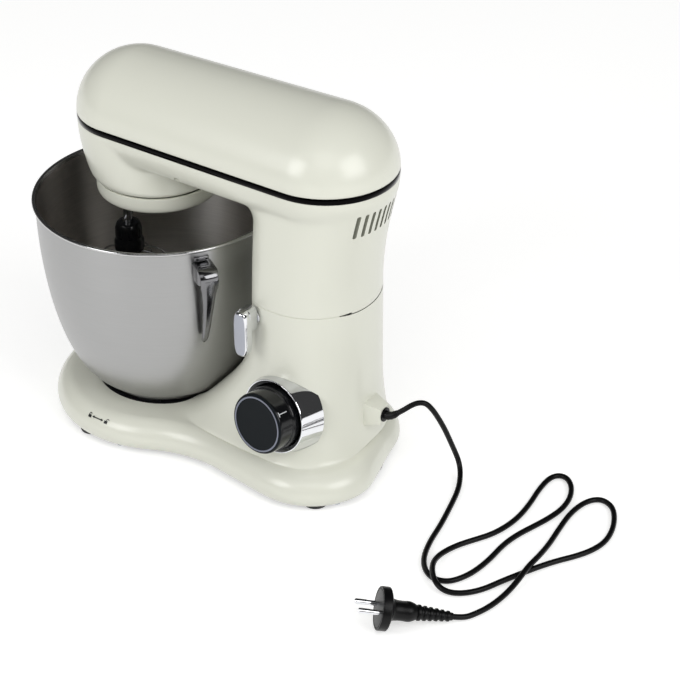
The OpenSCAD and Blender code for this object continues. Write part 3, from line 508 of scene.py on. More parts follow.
lead = {"route": [
    (-2.5, 183.3, 69.5), (-5, 187.5, 72.5), (-9, 192.5, 77), (-13.5, 197.5, 79.5), (-18, 203, 78.5),
    (-22, 208, 70.5), (-26, 212, 60), (-30, 216, 48), (-33.5, 219, 36), (-37, 222, 24), (-38.5, 226, 13),
    (-32, 232, 5.5), (-14, 241, 2.7), (14, 249, 2.7), (41, 256, 2.7),
    (63, 260, 2.7), (83, 266, 2.7), (96, 273, 2.7), (105, 282, 2.7), (109, 292, 2.7), (106, 303, 2.7),
    (96, 310, 2.7), (81, 315, 2.7), (59, 317, 2.7), (36, 316, 2.7), (16, 319, 2.7), (-3, 325, 2.7),
    (-20, 330, 2.7), (-38, 333, 2.7), (-56, 331, 2.7), (-72, 324, 2.7), (-82, 314, 2.7), (-82, 305, 2.7),
    (-73, 300, 2.7), (-53, 301, 2.7), (-31, 305, 2.7), (-8, 307, 2.7), (11, 305, 2.7), (28, 300, 2.7),
    (42, 292, 2.7), (56, 284, 2.7), (71, 279, 3), (86, 279, 5), (100, 284, 8), (113, 293, 8),
    (119, 303, 5), (118, 313, 3), (111, 324, 2.7), (98, 334, 2.7), (80, 341, 2.7), (63, 349, 2.7),
    (48, 356, 2.7), (30, 366, 2.7), (16, 376, 2.7), (1, 384, 2.7), (-16, 388, 2.7), (-35, 385, 2.7),
    (-52, 378, 2.7), (-65, 369, 2.7), (-70, 358, 2.7), (-67, 350, 2.7), (-56, 344, 2.7), (-36, 342, 2.7),
    (-12, 345, 2.7), (13, 349, 3), (36, 352, 6), (57, 353, 8.5), (78, 354, 5), (98, 353, 3),
    (117, 350, 2.7), (133, 344, 2.7), (140.5, 339.5, 3.2), (146, 333, 5)],
    "diameter": 5.0}


def makeLead(c):
    data = bpy.data.curves.new("mainsLead", "CURVE")
    data.dimensions = "3D"
    data.bevel_depth = c["diameter"] / 2 * mm
    data.bevel_resolution = 5
    data.resolution_u = 4
    data.use_fill_caps = True
    s = data.splines.new("NURBS")
    pts = c["route"]
    s.points.add(len(pts) - 1)
    for q, p in zip(s.points, pts):
        q.co = (p[0] * mm, p[1] * mm, p[2] * mm, 1)
    s.order_u = 3
    s.use_endpoint_u = True
    ob = newObject("mainsLead", data)
    ob.data.materials.append(rubberBlack)
    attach(ob, "base")
    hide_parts("power_cord")
    p = [Vector(q) for q in pts]
    length = sum((p[i + 1] - p[i]).length for i in range(len(p) - 1)) * mm
    return ob, length


leadOb, leadLength = makeLead(lead)
print("lead", round(leadLength, 3))

plug = {"ribs": 6, "reliefR": 3.6, "ribRise": 0.45, "ribPitch": 5, "disc": 18.5, "face": 63.5, "flat": 7.7,
        "turn": -50, "rise": 13.5, "roll": 14}


def makePlug(c):
    profile = [(0, 0), (3.2, 0, 0.3)]
    for k in range(c["ribs"]):
        r, z = c["reliefR"] + k * c["ribRise"], 3 + k * c["ribPitch"]
        profile += [(r, z, 0.3), (r + 1, z + 0.2, 0.4), (r + 1, z + 2.6, 0.4), (r, z + 2.8, 0.3)]
    d, f = c["disc"], c["face"]
    profile += [(7.6, 34, 1.2), (8.8, 37.5, 2), (8.2, 46, 5), (9.4, 52.5, 2), (17.6, 55.4, 1), (d, 56.2, 0.5),
                (d, f - 0.5, 0.5), (d - 0.5, f, 0.4), (16.9, f, 0.2), (16.7, f - 0.6, 0.2), (16.2, f - 0.6, 0.2),
                (16, f, 0.2), (0, f)]
    body = turned("plugMoulding", rounded(profile, 0.4, 3), segments=96)
    for low, high in ((-22, -c["flat"]), (c["flat"], 22)):  # grip flats
        cut(body, [boxAt((low, -15, 40), (high, 15, 50.5))])
    bevel(body, 0.5, 2, 50)
    placed(body, lead["route"][-1], (c["turn"], "Z"), (90 - c["rise"], "Y"), (c["roll"], "Z"))
    finish(body, rubberBlack, 40)
    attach(body, "base")
    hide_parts("plug_body")
    return body


plugOb = makePlug(plug)


# ---- base housing ----

base = {"lobeR": 105, "waist": (194, 25), "corner": (33, 116, 63.5), "farCorner": (24, 109, 54), "floor": 5,
        "floorIn": 5.1, "recess": 8, "edgeZ": 13, "edgeIn": 17, "top": 32, "half": 60, "columnY": 100, "front": 58,
        "depth": 56, "seam": 175.7, "middleY": 40, "bowlGap": 2, "square": (3.5, 2.1),
        # how far, below which height and how sharply the column spreads
        "toe": (92, 150, 1.9), "heel": (6, 60, 2), "flare": (24, 8), "flareFrom": (120, 2.6), "squareFrom": (80, 1)}
waistR = math.hypot(base["waist"][0], base["waist"][1] - bowlY) - base["lobeR"]


def arcPts(c, r, a0, a1, n):
    steps = [math.radians(a0 + (a1 - a0) * i / n) for i in range(n)]
    return [(c[0] + r * math.cos(a), c[1] + r * math.sin(a)) for a in steps]


# Round lobe, hollow waist and rear corner of one flank, each tangent to the next
def halfOutline(corner, inset):
    w = base["waist"]
    lobeEnd = math.degrees(math.atan2(w[1] - bowlY, w[0]))
    reach = math.hypot(corner[0] - w[0], corner[1] - w[1])
    waistEnd = (math.degrees(math.atan2(corner[1] - w[1], corner[0] - w[0]))
                + math.degrees(math.acos((waistR + corner[2]) / reach)))
    return (arcPts(bowlAxis, base["lobeR"] - inset, -90, lobeEnd, 90)
            + arcPts(w, waistR + inset, 180 + lobeEnd, waistEnd, 50)
            + arcPts(corner[:2], corner[2] - inset, waistEnd - 180, 90, 80))


# n points at equal steps round a closed outline
def evenly(points, n):
    q = np.array(points + [points[0]], float)
    d = np.concatenate([[0], np.cumsum(np.linalg.norm(np.diff(q, axis=0), axis=1))])
    t = np.linspace(0, d[-1], n, endpoint=False)
    return np.stack([np.interp(t, d, q[:, k]) for k in range(2)], 1)


def relax(q, passes):
    for _ in range(passes):
        q = q * 0.5 + (np.roll(q, 1, 0) + np.roll(q, -1, 0)) * 0.25
    return q


def baseOutline(inset, n=300):
    near, far = halfOutline(base["corner"], inset), halfOutline(base["farCorner"], inset)
    return relax(evenly(near + [(-x, y) for x, y in far[::-1][:-1]], n), 14)


# Grows from 0 at the height top to 1 at 20
def lowShare(z, top, power):
    return ((top - z) / (top - 20)) ** power if z < top else 0


# Oblong with its own squareness in front and behind
def oval(w, front, rear, mid, squareFront, squareRear, angles):
    out = []
    for a in angles:
        c, s = math.cos(a), math.sin(a)
        power = 2 / (squareFront if s < 0 else squareRear)
        reach = mid - front if s < 0 else rear - mid
        out.append((w * squared(c, power), mid + reach * squared(s, power)))
    return out


# The column spreads towards its foot, most of all forwards under the bowl
def columnOutline(z, inset, angles):
    b = base
    front = b["front"] - b["toe"][0] * lowShare(z, *b["toe"][1:]) + inset
    rear = b["columnY"] + b["depth"] + b["heel"][0] * lowShare(z, *b["heel"][1:]) - inset
    low = lowShare(z, *b["squareFrom"])
    squareFront, squareRear = b["square"][0] - 0.5 * low, b["square"][1] + 0.4 * low
    pts = oval(b["half"] - inset, front, rear, b["columnY"], squareFront, squareRear, angles)
    k = lowShare(z, *b["flareFrom"]) / b["half"]
    return [(x + (b["flare"][0] if x > 0 else b["flare"][1]) * k * x, y) for x, y in pts]


neck = {"half": 60, "taper": 5, "front": 58, "mid": 100, "depth": 56, "draw": 2, "low": 176, "lean": 18,
        "squareFront": 3.5, "squareRear": 2.1, "brow": 16, "browLow": 250, "browOver": 18}


def neckOutline(z, inset, angles):
    n = neck
    t = (z - n["low"]) / 100
    mid = n["mid"] + n["lean"] * max(t, 0) ** 1.7
    brow = n["brow"] * ((z - n["browLow"]) / n["browOver"]) ** 2 if z > n["browLow"] else 0
    return oval(n["half"] - n["taper"] * t - inset, n["front"] - brow + inset, mid + n["depth"] - n["draw"] * t - inset,
                mid, n["squareFront"], n["squareRear"], angles)


# How far back the neck's rear face is at x
def neckBack(x, z=neck["low"]):
    n = neck
    t = (z - n["low"]) / 100
    across = 1 - (abs(x) / (n["half"] - n["taper"] * t)) ** n["squareRear"]
    return n["mid"] + n["lean"] * max(t, 0) ** 1.7 + (n["depth"] - n["draw"] * t) * across ** (1 / n["squareRear"])


bowl = {"foot": 58, "belly": 53, "high": 207, "drop": 169.4, "wall": 1.2, "rimR": 112.3, "rimZ": 215.3, "bead": 1.7}


def bowlProfile(inset, n=60):
    b = bowl
    quarter = [math.pi / 2 * i / n for i in range(n + 1)]
    return [(b["foot"] + (b["belly"] - inset) * math.sin(a), b["high"] - (b["drop"] - inset) * math.cos(a))
            for a in quarter]


# Clearance round the bowl, with the pocket for its foot below
def bowlRoom(room):
    side = [(r + room, z - room * 0.4) for r, z in bowlProfile(0) if r > 64.5]
    pts = [(0, 17), (62.8, 17), (63.6, 17.8), (64.3, 24)] + side + [(side[-1][0], 300), (0, 300)]
    return turned("bowlRoom", pts, bowlAxis, 160)


# Angles at which the column's foot is met on the same bearings as the slab's outline
def footAngles(edge):
    fine = np.linspace(0, 2 * math.pi, 1440, endpoint=False)
    foot = np.array(columnOutline(base["top"], 0, fine)) - (0, base["middleY"])
    bearing = np.unwrap(np.arctan2(foot[:, 1], foot[:, 0]))
    want = np.unwrap(np.arctan2(edge[:, 1] - base["middleY"], edge[:, 0]))
    want += round((bearing[0] - want[0]) / (2 * math.pi)) * 2 * math.pi
    whole = (-2 * math.pi, 0, 2 * math.pi)
    return np.interp(want, np.concatenate([bearing + w for w in whole]), np.concatenate([fine + w for w in whole]))


def columnCutters():
    knobCone = onKnobAxis(turned("c", [(0, -16), (39.1, -16), (32.5, 17), (0, 17)], segments=128))
    heel = []  # the head's lip turns in this groove
    for x in range(-34, 35, 2):
        heel.append((0.6 + math.hypot(max(neckBack(x) - hinge[0], 0), 1), -x))
    groove = alongX(turned("c", [(0, heel[0][1])] + heel + [(0, heel[-1][1])], segments=96), hinge)
    gland = placed(rod(5, 0, 40, segments=48), (0, 178, outletZ), (90, "X"))
    return [bowlRoom(base["bowlGap"]), knobCone, alongX(rod(6.2, 55, 90), leverPin), groove,
            boxAt((-9, 80, 140), (9, 96, 200)), gland]


def makeBase():
    b = base
    rings = [level(baseOutline(b["floorIn"]), b["recess"]), level(baseOutline(b["floorIn"]), b["floor"])]
    under, over, lowest = b["edgeZ"] - b["floor"], b["top"] - b["edgeZ"], math.radians(60)
    for a in range(-60, 1, 10):
        t = math.radians(a)
        rings.append(level(baseOutline(under * (1 - math.cos(t))), b["edgeZ"] + under * math.sin(t) / math.sin(lowest)))
    for a in range(8, 91, 8):
        t = math.radians(a)
        rings.append(level(baseOutline(b["edgeIn"] * (1 - math.cos(t))), b["edgeZ"] + over * math.sin(t)))
    edge, crest = baseOutline(0), baseOutline(b["edgeIn"])
    angles = footAngles(edge)
    foot = np.array(columnOutline(b["top"], 0, angles))
    upper = [np.column_stack([crest * (1 - s) + foot * s, np.full(len(edge), float(b["top"]))])
             for s in np.linspace(0, 1, 14)]
    for z in list(range(34, 80, 3)) + list(range(82, 174, 5)) + [173, 175]:
        upper.append(np.column_stack([np.array(columnOutline(z, 0, angles)), np.full(len(edge), float(z))]))
    upper = np.array(upper)
    share = np.zeros((len(upper), 1, 1))
    share[6:24] = 1
    for _ in range(10):  # round the foot of the column into the slab
        eased = upper.copy()
        eased[1:-1] = upper[1:-1] * 0.5 + (upper[:-2] + upper[2:]) * 0.25
        upper = upper + (eased - upper) * share
    rings += [[tuple(p) for p in ring] for ring in upper]
    rings.append(level(columnOutline(175, 0.7, angles), b["seam"]))
    ob = lofted("baseHousing", rings)
    print("base loft", len(ob.data.polygons))
    block = []  # round the lead's outlet
    for w, h, y in ((15, 16, 140), (11.5, 12, 153), (6.6, 8.2, 169.6), (5.8, 7.4, 171)):
        block.append([(x, y, outletZ + z) for x, z in ((-w, -h), (w, -h), (w, h), (-w, h))])
    cut(ob, [lofted("c", block)], "UNION")
    cut(ob, columnCutters())
    finish(ob, creamPaint, 32)
    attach(ob, "base")
    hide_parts("base_housing")


makeBase()
print("base housing made")


# Lock and unlock signs with an arrow between them, printed on the lobe's rounded edge
lockPrint = {"turn": -3.0, "up": 43.5, "lift": 0.12, "bar": 1.7, "bow": 1.35, "bowIn": 0.8}


def onLobe(c, u, v, h):
    across, up = base["edgeIn"], base["top"] - base["edgeZ"]
    b = math.radians(c["up"]) + v / 18
    r = base["lobeR"] - across * (1 - math.cos(b))
    a = math.radians(c["turn"]) + u / r
    n = Vector((math.cos(b) / across, math.sin(b) / up)).normalized()
    r, z = r + n.x * h, base["edgeZ"] + up * math.sin(b) + n.y * h
    return Vector((r * math.cos(a), bowlY + r * math.sin(a), z)) * mm


def flatShape(outline):
    return lofted("c", [level(outline, 0), level(outline, 1)])


def signBox(x0, x1, y0, y1, steps=8):
    t = [x0 + (x1 - x0) * k / steps for k in range(steps + 1)]
    return flatShape([(x, y0) for x in t] + [(x, y1) for x in t[::-1]])


def makeLockPrint(c):
    shapes = []
    arc = [math.radians(180 * k / 10) for k in range(11)]
    for at, openSide in ((-9.4, 0.0), (9.4, 1.5)):  # closed, then open
        shapes.append(signBox(at - c["bar"], at + c["bar"], -2.0, 0.7))
        bow = at + openSide
        outer = [(bow + c["bow"] * math.cos(a), 1.5 + c["bow"] * math.sin(a)) for a in arc]
        inner = [(bow + c["bowIn"] * math.cos(a), 1.5 + c["bowIn"] * math.sin(a)) for a in arc[::-1]]
        shapes.append(flatShape(outer + [(bow - c["bow"], 0.75), (bow - c["bowIn"], 0.75)] + inner))
    shapes.append(signBox(-6.2, 4.4, -0.5, 0.5, 12))
    for s in (-1, 1):
        x = 6.4 * s
        shapes.append(flatShape([(x, 0), (x - 2.4 * s, 1.3), (x - 2.4 * s, -1.3)][::s]))
    ob = joinAll("lockPrint", shapes)
    for v in ob.data.vertices:
        u, w, h = v.co / mm
        v.co = onLobe(c, u, w, -0.1 + h * (c["lift"] + 0.1))
    recalc(ob, 0.001)
    coat(ob, printInk)
    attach(ob, "base")


makeLockPrint(lockPrint)


# ---- head ----

head = {"frontY": -85, "frontR": 57, "rearY": 112, "rearR": 62.5, "trim": 291, "trimH": 6, "top": 351.85, "pan": 266,
        "panR": 12}


# Two round ends joined by tangents
def roundEnds(rf, rr, n):
    h = head
    g = math.degrees(math.asin((rr - rf) / (h["rearY"] - h["frontY"])))
    return arcPts((0, h["rearY"]), rr, -g, 180 + g, n) + arcPts((0, h["frontY"]), rf, 180 + g, 360 - g, n)


def headOutline(inset):
    return relax(evenly(roundEnds(head["frontR"] - inset, head["rearR"] - inset, 120), 260), 6)


def makeCover():
    h = head
    z0 = h["trim"] + h["trimH"]
    rings = []
    arc = [math.radians(a) for a in [0.6] + list(range(3, 90, 3))]
    for size, rise in [(0.93, 0), (0.995, 0)] + [(math.cos(a), math.sin(a)) for a in arc]:
        rf, rr = max(h["frontR"] * size, 0.2), max(h["rearR"] * size, 0.2)
        rings.append(level(roundEnds(rf, rr, 100), z0 + (h["top"] - z0) * rise))
    ob = lofted("headCover", rings)
    finish(ob, creamPaint, 40)
    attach(ob, "head")
    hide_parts("top_cover")


lip = {"half": 23, "from": 8, "sweep": 28, "over": 0.08, "wall": 1.7, "least": 5.4}


# Barrel lip under the rear edge of the neck, round the hinge pin
def makeLip(c):
    y, z = hinge
    arc = [math.radians(c["from"] - c["sweep"] * i / 12) for i in range(13)]
    rings = []
    for x in range(-c["half"], c["half"] + 1):
        far = math.hypot(neckBack(x) - y, 1) + c["over"]
        near = max(far - c["wall"], c["least"])
        rings.append([(x, y + far * math.cos(a), z + far * math.sin(a)) for a in arc]
                     + [(x, y + near * math.cos(a), z + near * math.sin(a)) for a in arc[::-1]])
    return lofted("c", rings)


# Sharp joins between arm, boss and neck are blended by remeshing and relaxing the height band where they meet
def blendShell(ob):
    m = ob.modifiers.new("even", "REMESH")
    m.mode, m.voxel_size = "VOXEL", 0.0015
    applyAll(ob)
    joins = ob.vertex_groups.new(name="joins")
    low, high, fade = 246, 286, 1.6
    for k in range(1, 6):
        share = [v.index for v in ob.data.vertices
                 if k == min(5, int(max(min((v.co.z / mm - low) / fade, (high - v.co.z / mm) / fade), 0)))]
        joins.add(share, k / 5, "REPLACE")
    for times, group in ((4, ""), (46, "joins")):
        m = ob.modifiers.new("relax", "SMOOTH")
        m.factor, m.iterations, m.vertex_group = 0.5, times, group
        applyAll(ob)
    ob.vertex_groups.clear()
    for z, up in ((head["trim"], 1), (neck["low"] + 0.3, -1)):
        pick(ob)
        mode("EDIT")
        bpy.ops.mesh.select_all(action="SELECT")
        bpy.ops.mesh.bisect(plane_co=(0, 0, z * mm), plane_no=(0, 0, up), use_fill=True, clear_outer=True)
        mode("OBJECT")


boss = {"low": 238.5, "r": 56.9, "edge": 3.9, "lean": 14, "rise": 53,
        "levels": [238.5, 238.7, 239, 239.6, 240.4, 241.4, 242.6, 244.5, 247] + list(range(250, 271, 4))
        + [275, 280, 286, 291]}
vents = {"count": 9, "pitch": 7.3, "r": 1.7, "z": 254.5, "tall": 19.4, "deep": 5, "half": 33, "behind": 110}


# Each slot is a rod stretched upwards, and its floor follows the skin
def ventCutters(c, angles):
    inner = lofted("c", [level(neckOutline(z, c["deep"], angles), z) for z in (240, 250, 260, 270, 280)])
    cutters = []
    for i in range(c["count"]):
        v = placed(rod(c["r"], 0, 70, segments=24), ((i - (c["count"] - 1) / 2) * c["pitch"], 200, c["z"]), (90, "X"))
        selectVerts(v, lambda q: q.z > c["z"] * mm)
        bpy.ops.transform.translate(value=(0, 0, c["tall"] * mm))
        mode("OBJECT")
        m = v.modifiers.new("keepSkin", "BOOLEAN")
        m.operation, m.solver, m.object = "DIFFERENCE", "EXACT", inner
        applyAll(v)
        cutters.append(v)
    bpy.data.objects.remove(inner, do_unlink=True)
    return cutters


def makeHeadShell():
    h = head
    rings = []
    for u in [1] + [math.sin(math.radians(a)) for a in range(84, -1, -6)]:
        inset = h["panR"] * (1 - math.sqrt(max(1 - u * u, 0)))
        rings.append(level(headOutline(inset), h["trim"] - (h["trim"] - h["pan"]) * u))
    ob = lofted("headShell", rings + [level(headOutline(0), h["trim"] + 8)])
    angles = turns(240)
    levels = [176] + list(range(180, 250, 5)) + [250, 253, 256, 259, 262, 264, 266, 268, 271, 274, 277, 280, 284]
    skirt = level(neckOutline(176, 0, angles), 170)
    neckOb = lofted("neck", [skirt] + [level(neckOutline(z, 0, angles), z) for z in levels])
    rings = []
    for z in boss["levels"]:
        t, u = (z - boss["low"]) / boss["rise"], max(1 - (z - boss["low"]) / 6, 0)
        r = boss["r"] - boss["edge"] * (1 - math.sqrt(max(1 - u * u, 0)))
        y = h["frontY"] + boss["lean"] * (1 - t) ** 2.2
        rings.append([(r * math.cos(a), y + r * math.sin(a), z) for a in angles])
    cut(ob, [neckOb, lofted("boss", rings)], "UNION")
    blendShell(ob)
    print("shell blended", len(ob.data.polygons))
    cutters = ventCutters(vents, angles)
    cutters.append(alongX(rod(5.5, -22.6, 22.6), hinge))
    cutters.append(boxAt((-7.2, 86.8, 170), (7.2, 90.2, 190)))
    cutters.append(rod(51.2, 230, 242.6, bowlAxis, 128))
    for side in (-1, 1):
        for y in (-14, 38):
            cutters.append(rod(4.2, 255, 269, (42 * side, y), 48))
        recess = turned("c", [(0, -7), (2.6, -7), (3.4, 9), (0, 9)], segments=32)
        cutters.append(placed(recess, (54.5 * side, -6.5, 271.2), (127 * side, "Y")))
    cut(ob, [joinAll("c", cutters)])
    ob = joinAll("headShell", [ob, makeLip(lip)])
    finish(ob, creamPaint, 32)
    # second slot: painted shade for the vent slots
    ob.data.materials.append(ventPaintedShade)
    low, high = vents["z"] - 3.5, vents["z"] + vents["tall"] + 4.1
    for f in ob.data.polygons:  # walls and floors of the slots get painted shade for their depth
        x, y, z = f.center / mm
        sunk = abs(f.normal.y) < 0.5 or y < neckBack(x, z) - 2
        if low < z < high and abs(x) < vents["half"] and y > vents["behind"] and sunk:
            f.material_index = 1
    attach(ob, "head")
    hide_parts("head_shell")


def makeTrim():
    outer, mid, inner = headOutline(-0.2), headOutline(0.3), headOutline(3.1)
    z0, z1 = head["trim"], head["trim"] + head["trimH"]
    rings = [level(line, z) for line, z in ((inner, z0), (mid, z0), (outer, z0 + 0.5), (outer, z1 - 0.5), (mid, z1),
                                            (inner, z1), (inner, z0))]
    ob = lofted("trimStrip", rings, False, False)
    # the trim's near-black colour is a painted dark reflection
    finish(ob, trimPaintedDarkReflection, 50)
    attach(ob, "head")
    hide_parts("trim_strip")


makeCover()
makeHeadShell()
makeTrim()
print("head made")


# ---- carrier cap, whisk ----

orbit, restTurn = 34, math.radians(10)  # how far off the bowl's axis the whisk runs, and where it rests
whisk = {"at": (orbit * math.sin(restTurn), bowlY - orbit * math.cos(restTurn)), "r": 46, "mid": 105, "low": 54,
         "hub": 150, "wire": 0.9, "loops": 5, "neckR": 9.1, "step": 2.1, "turn": 12, "grooveAt": 13.6}


def makeCarrierCap():
    p = [(0, 222.8), (50.5, 222.8, 2.5), (54.2, 224.2, 2.5), (55.2, 228.4, 2), (55.2, 237.9, 0.4), (52.6, 237.9, 0.3),
         (52.4, 227.8, 0.5), (50, 225.8), (0, 225.8)]
    ob = turned("carrierCap", rounded(p, 1), bowlAxis, 160)
    cut(ob, [rod(7.1, 200, 240, whisk["at"])])
    finish(ob, creamPaint, 35)
    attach(ob, "carrier")
    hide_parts("carrier_cap")


def whiskPath(c, low):
    rise = [math.radians(t) for t in range(0, 90, 6)]
    top = c["hub"] - 1.6
    half = [(c["neckR"] + (c["r"] - c["neckR"]) * math.sin(a), c["mid"] + (top - c["mid"]) * math.cos(a)) for a in rise]
    half += [(c["r"] * math.cos(a), c["mid"] - (c["mid"] - low) * math.sin(a)) for a in rise]
    return half + [(0, low)] + [(-x, z) for x, z in half[::-1]]


def makeWhisk(c):
    z = c["hub"]
    p = [(0, z - 4), (8.8, z - 4, 0.6), (9, z, 0.4), (12.9, z, 1), (13.7, z + 3, 1), (13.7, z + 10, 1.5),
         (12.3, z + 13, 1), (12.1, 174, 1.5), (10, 179, 1.2), (4.1, 179, 0.3), (4.1, 170)]
    hub = turned("whiskHub", rounded(p, 1) + [(0, 170)], c["at"], 96)
    for a in turns(8):  # finger grooves
        at = (c["at"][0] + c["grooveAt"] * math.cos(a), c["at"][1] + c["grooveAt"] * math.sin(a))
        cut(hub, [rod(2.2, 165, 176, at, 24)])
    finish(hub, blackGloss, 35)
    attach(hub, "beater")
    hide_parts("whisk_hub")
    wires = []
    for k in range(c["loops"]):
        path = whiskPath(c, c["low"] + c["step"] * k)
        turn = math.radians(k * 180 / c["loops"] + c["turn"])
        data = bpy.data.curves.new("wire", "CURVE")
        data.dimensions, data.bevel_depth, data.bevel_resolution, data.use_fill_caps = "3D", c["wire"] * mm, 3, True
        s = data.splines.new("POLY")
        s.points.add(len(path) - 1)
        for q, (x, up) in zip(s.points, path):
            q.co = ((c["at"][0] + x * math.cos(turn)) * mm, (c["at"][1] + x * math.sin(turn)) * mm, up * mm, 1)
        pick(newObject("wire", data))
        bpy.ops.object.convert(target="MESH")
        wires.append(bpy.context.object)
    ob = joinAll("whiskWires", wires)
    finish(ob, shaftSteel, 60)
    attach(ob, "beater")
    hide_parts("whisk_wires")


makeCarrierCap()
makeWhisk(whisk)
print("whisk made")


# ---- bowl ----

def makeBowl(c):
    bead = [math.radians(a) for a in range(-90, 181, 15)]
    rim = [(c["rimR"] + c["bead"] * math.cos(a), c["rimZ"] + c["bead"] * math.sin(a)) for a in bead]
    foot = [(0, 37.6), (60.2, 37.8), (60.4, 34.2), (61, 33.4), (61.7, 33.6), (62, 34.4), (62, 37.6)]
    outer = [q for q in bowlProfile(0, 48) if q[0] > 62.5]
    inner = bowlProfile(c["wall"], 48)[::-1]
    ob = turned("bowl", foot + outer + [(111, 212.4)] + rim + [(109.8, 213)] + inner + [(0, 38.8)], bowlAxis, 192)
    finish(ob, bowlSteel, 45)
    ob.data.materials.append(bowlRimSteel)
    ob.data.materials.append(bowlInsideSteel)
    for f in ob.data.polygons:
        x, y, z = f.center / mm - Vector((0, bowlY, 0))
        facesIn = f.normal.x * x + f.normal.y * y < 0 and z > 38.5
        if z > 212.9:
            f.material_index = 1
        elif facesIn or (f.normal.z > 0.9 and math.hypot(x, y) < 100):
            f.material_index = 2
    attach(ob, "bowl")
    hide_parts("bowl")


handle = {"out": 134, "top": 205, "thick": 2.6, "angle": 56, "bend": 7.7,
          "width": [(121, 1.2), (124, 2.6), (140, 3.4), (165, 4.6), (182, 6.4), (188, 8.0), (205, 8.6)],
          "strap": [(131.4, 189), (129.6, 182), (128, 175), (126.3, 168), (124.3, 160), (122, 152), (119.5, 144),
                    (116.7, 136), (113.8, 129), (111.2, 124.5), (109, 121.8)],
          "section": [(-1, -0.5), (-0.9, -1), (0.9, -1), (1, -0.5), (1, 0.3), (0.8, 0.75), (0.4, 0.95), (0, 1),
                      (-0.4, 0.95), (-0.8, 0.75), (-1, 0.3)]}


# A strap swept down its middle line, widest at the knuckle
def makeHandle(c):
    mid = [(106, c["top"] - 1.6), (112, c["top"] - 1.5), (122, c["top"] - 1.6)]
    for a in range(80, -11, -10):
        t = math.radians(a)
        mid.append((c["out"] - 9 + c["bend"] * math.cos(t), c["top"] - 9.2 + c["bend"] * math.sin(t)))
    mid += c["strap"]
    heights, widths = zip(*c["width"])
    rings = []
    for i, at in enumerate(mid):
        along = (Vector(mid[min(i + 1, len(mid) - 1)]) - Vector(mid[max(i - 1, 0)])).normalized()
        out = Vector((-along.y, along.x)) * c["thick"] / 2
        w = float(np.interp(at[1], heights, widths))
        rings.append([(at[0] + out.x * v, u * w, at[1] + out.y * v) for u, v in c["section"]])
    strap = lofted("bowlHandle", rings)
    knuckle = boxAt((111.5, -8.6, 187), (126, 8.6, 204.6))
    bevel(knuckle, 3.0, 4)
    lug = boxAt((107, -6.5, 206), (113.4, 6.5, 209.5))
    bevel(lug, 0.6, 2)
    ob = placed(joinAll("bowlHandle", [strap, knuckle, lug]), (0, bowlY, 0), (c["angle"], "Z"))
    finish(ob, handleSteel, 50)
    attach(ob, "bowl")
    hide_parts("bowl_handle")


makeBowl(bowl)
makeHandle(handle)
print("bowl made")


# ---- knob, bezel, lever ----

knob = {"r": 27.9, "skirtR": 28.9, "face": 28.4, "ringIn": 24.1, "ringOut": 25.5, "pointerTurn": 128}


def makeKnob(c):
    r, w = c["r"], c["skirtR"]
    p = [(0, -10), (w, -10, 0.6), (w, 10.5, 1.2), (w - 0.5, 11.6, 0.3), (w - 0.6, 12.4, 0.2), (r, 12.6, 0.2),
         (r, 27.3, 1.6), (26.6, 29, 0.8), (c["ringOut"], 29, 0.1), (c["ringOut"], 28), (c["ringIn"], 28),
         (c["ringIn"], 28.8, 0.1), (20, 28.6), (0, c["face"])]
    ob = onKnobAxis(turned("speedKnob", rounded(p, 0.4), segments=160))
    finish(ob, blackGloss, 35)
    ob.data.materials.append(knobFaceBlack)
    out = knobFrame.to_3x3() @ Vector((0, 0, 1))
    for f in ob.data.polygons:
        if (f.center - knobAt * mm).dot(out) > (c["face"] - 0.5) * mm:
            f.material_index = 1
    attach(ob, "knob")
    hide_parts("speed_knob")


def makeKnobRing(c):
    low, high = c["ringIn"], c["ringOut"]
    p = [(high, 28), (high, 29.1), (high - 0.2, 29.2), (low + 0.2, 29.2), (low, 29.1), (low, 28), (high, 28)]
    ring = onKnobAxis(turned("knobRing", p, segments=160))
    finish(ring, ringPrint, 35)
    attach(ring, "knob")
    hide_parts("knob_ring")


def makeKnobPointer(c):
    marks = []
    skin = c["r"] + 0.12
    for low, high, half in ((16, 25.6, 0.8), (25.4, 26.2, 4.5)):
        arc = [math.radians(c["pointerTurn"] - half + half * i / 4) for i in range(9)]
        ends = [(skin * math.cos(a), skin * math.sin(a)) for a in arc]
        ends += [((skin - 0.3) * math.cos(a), (skin - 0.3) * math.sin(a)) for a in arc[::-1]]
        marks.append(lofted("c", [level(ends, low), level(ends, high)]))
    pointer = onKnobAxis(joinAll("knobPointer", marks))
    coat(pointer, whitePrint)
    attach(pointer, "knob")


def makeBezel():
    p = [(5, -16), (39, -16), (34.2, 8, 1.4), (33.2, 8.05, 0.4), (29.6, 5, 0.6), (29.6, -13), (5, -13)]
    ob = onKnobAxis(turned("knobBezel", rounded(p, 0.5) + [(5, -16)], segments=160))
    recalc(ob)
    finish(ob, chromePlate, 35)
    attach(ob, "base")
    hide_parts("knob_bezel")


lever = {"pad": (73, 154.8), "padHalf": (6.9, 21.8), "neck": (73.2, 164.4), "neckHalf": (6.4, 12), "satinFrom": 77}


# Rounded oblong lofted along x, drawn in at its edges
def oblong(name, at, half, power, steps):
    rings = []
    for x, inset in steps:
        rings.append([(x, at[0] + (half[0] - inset) * squared(math.cos(a), power),
                       at[1] + (half[1] - inset) * squared(math.sin(a), power)) for a in turns(64)])
    return lofted(name, rings)


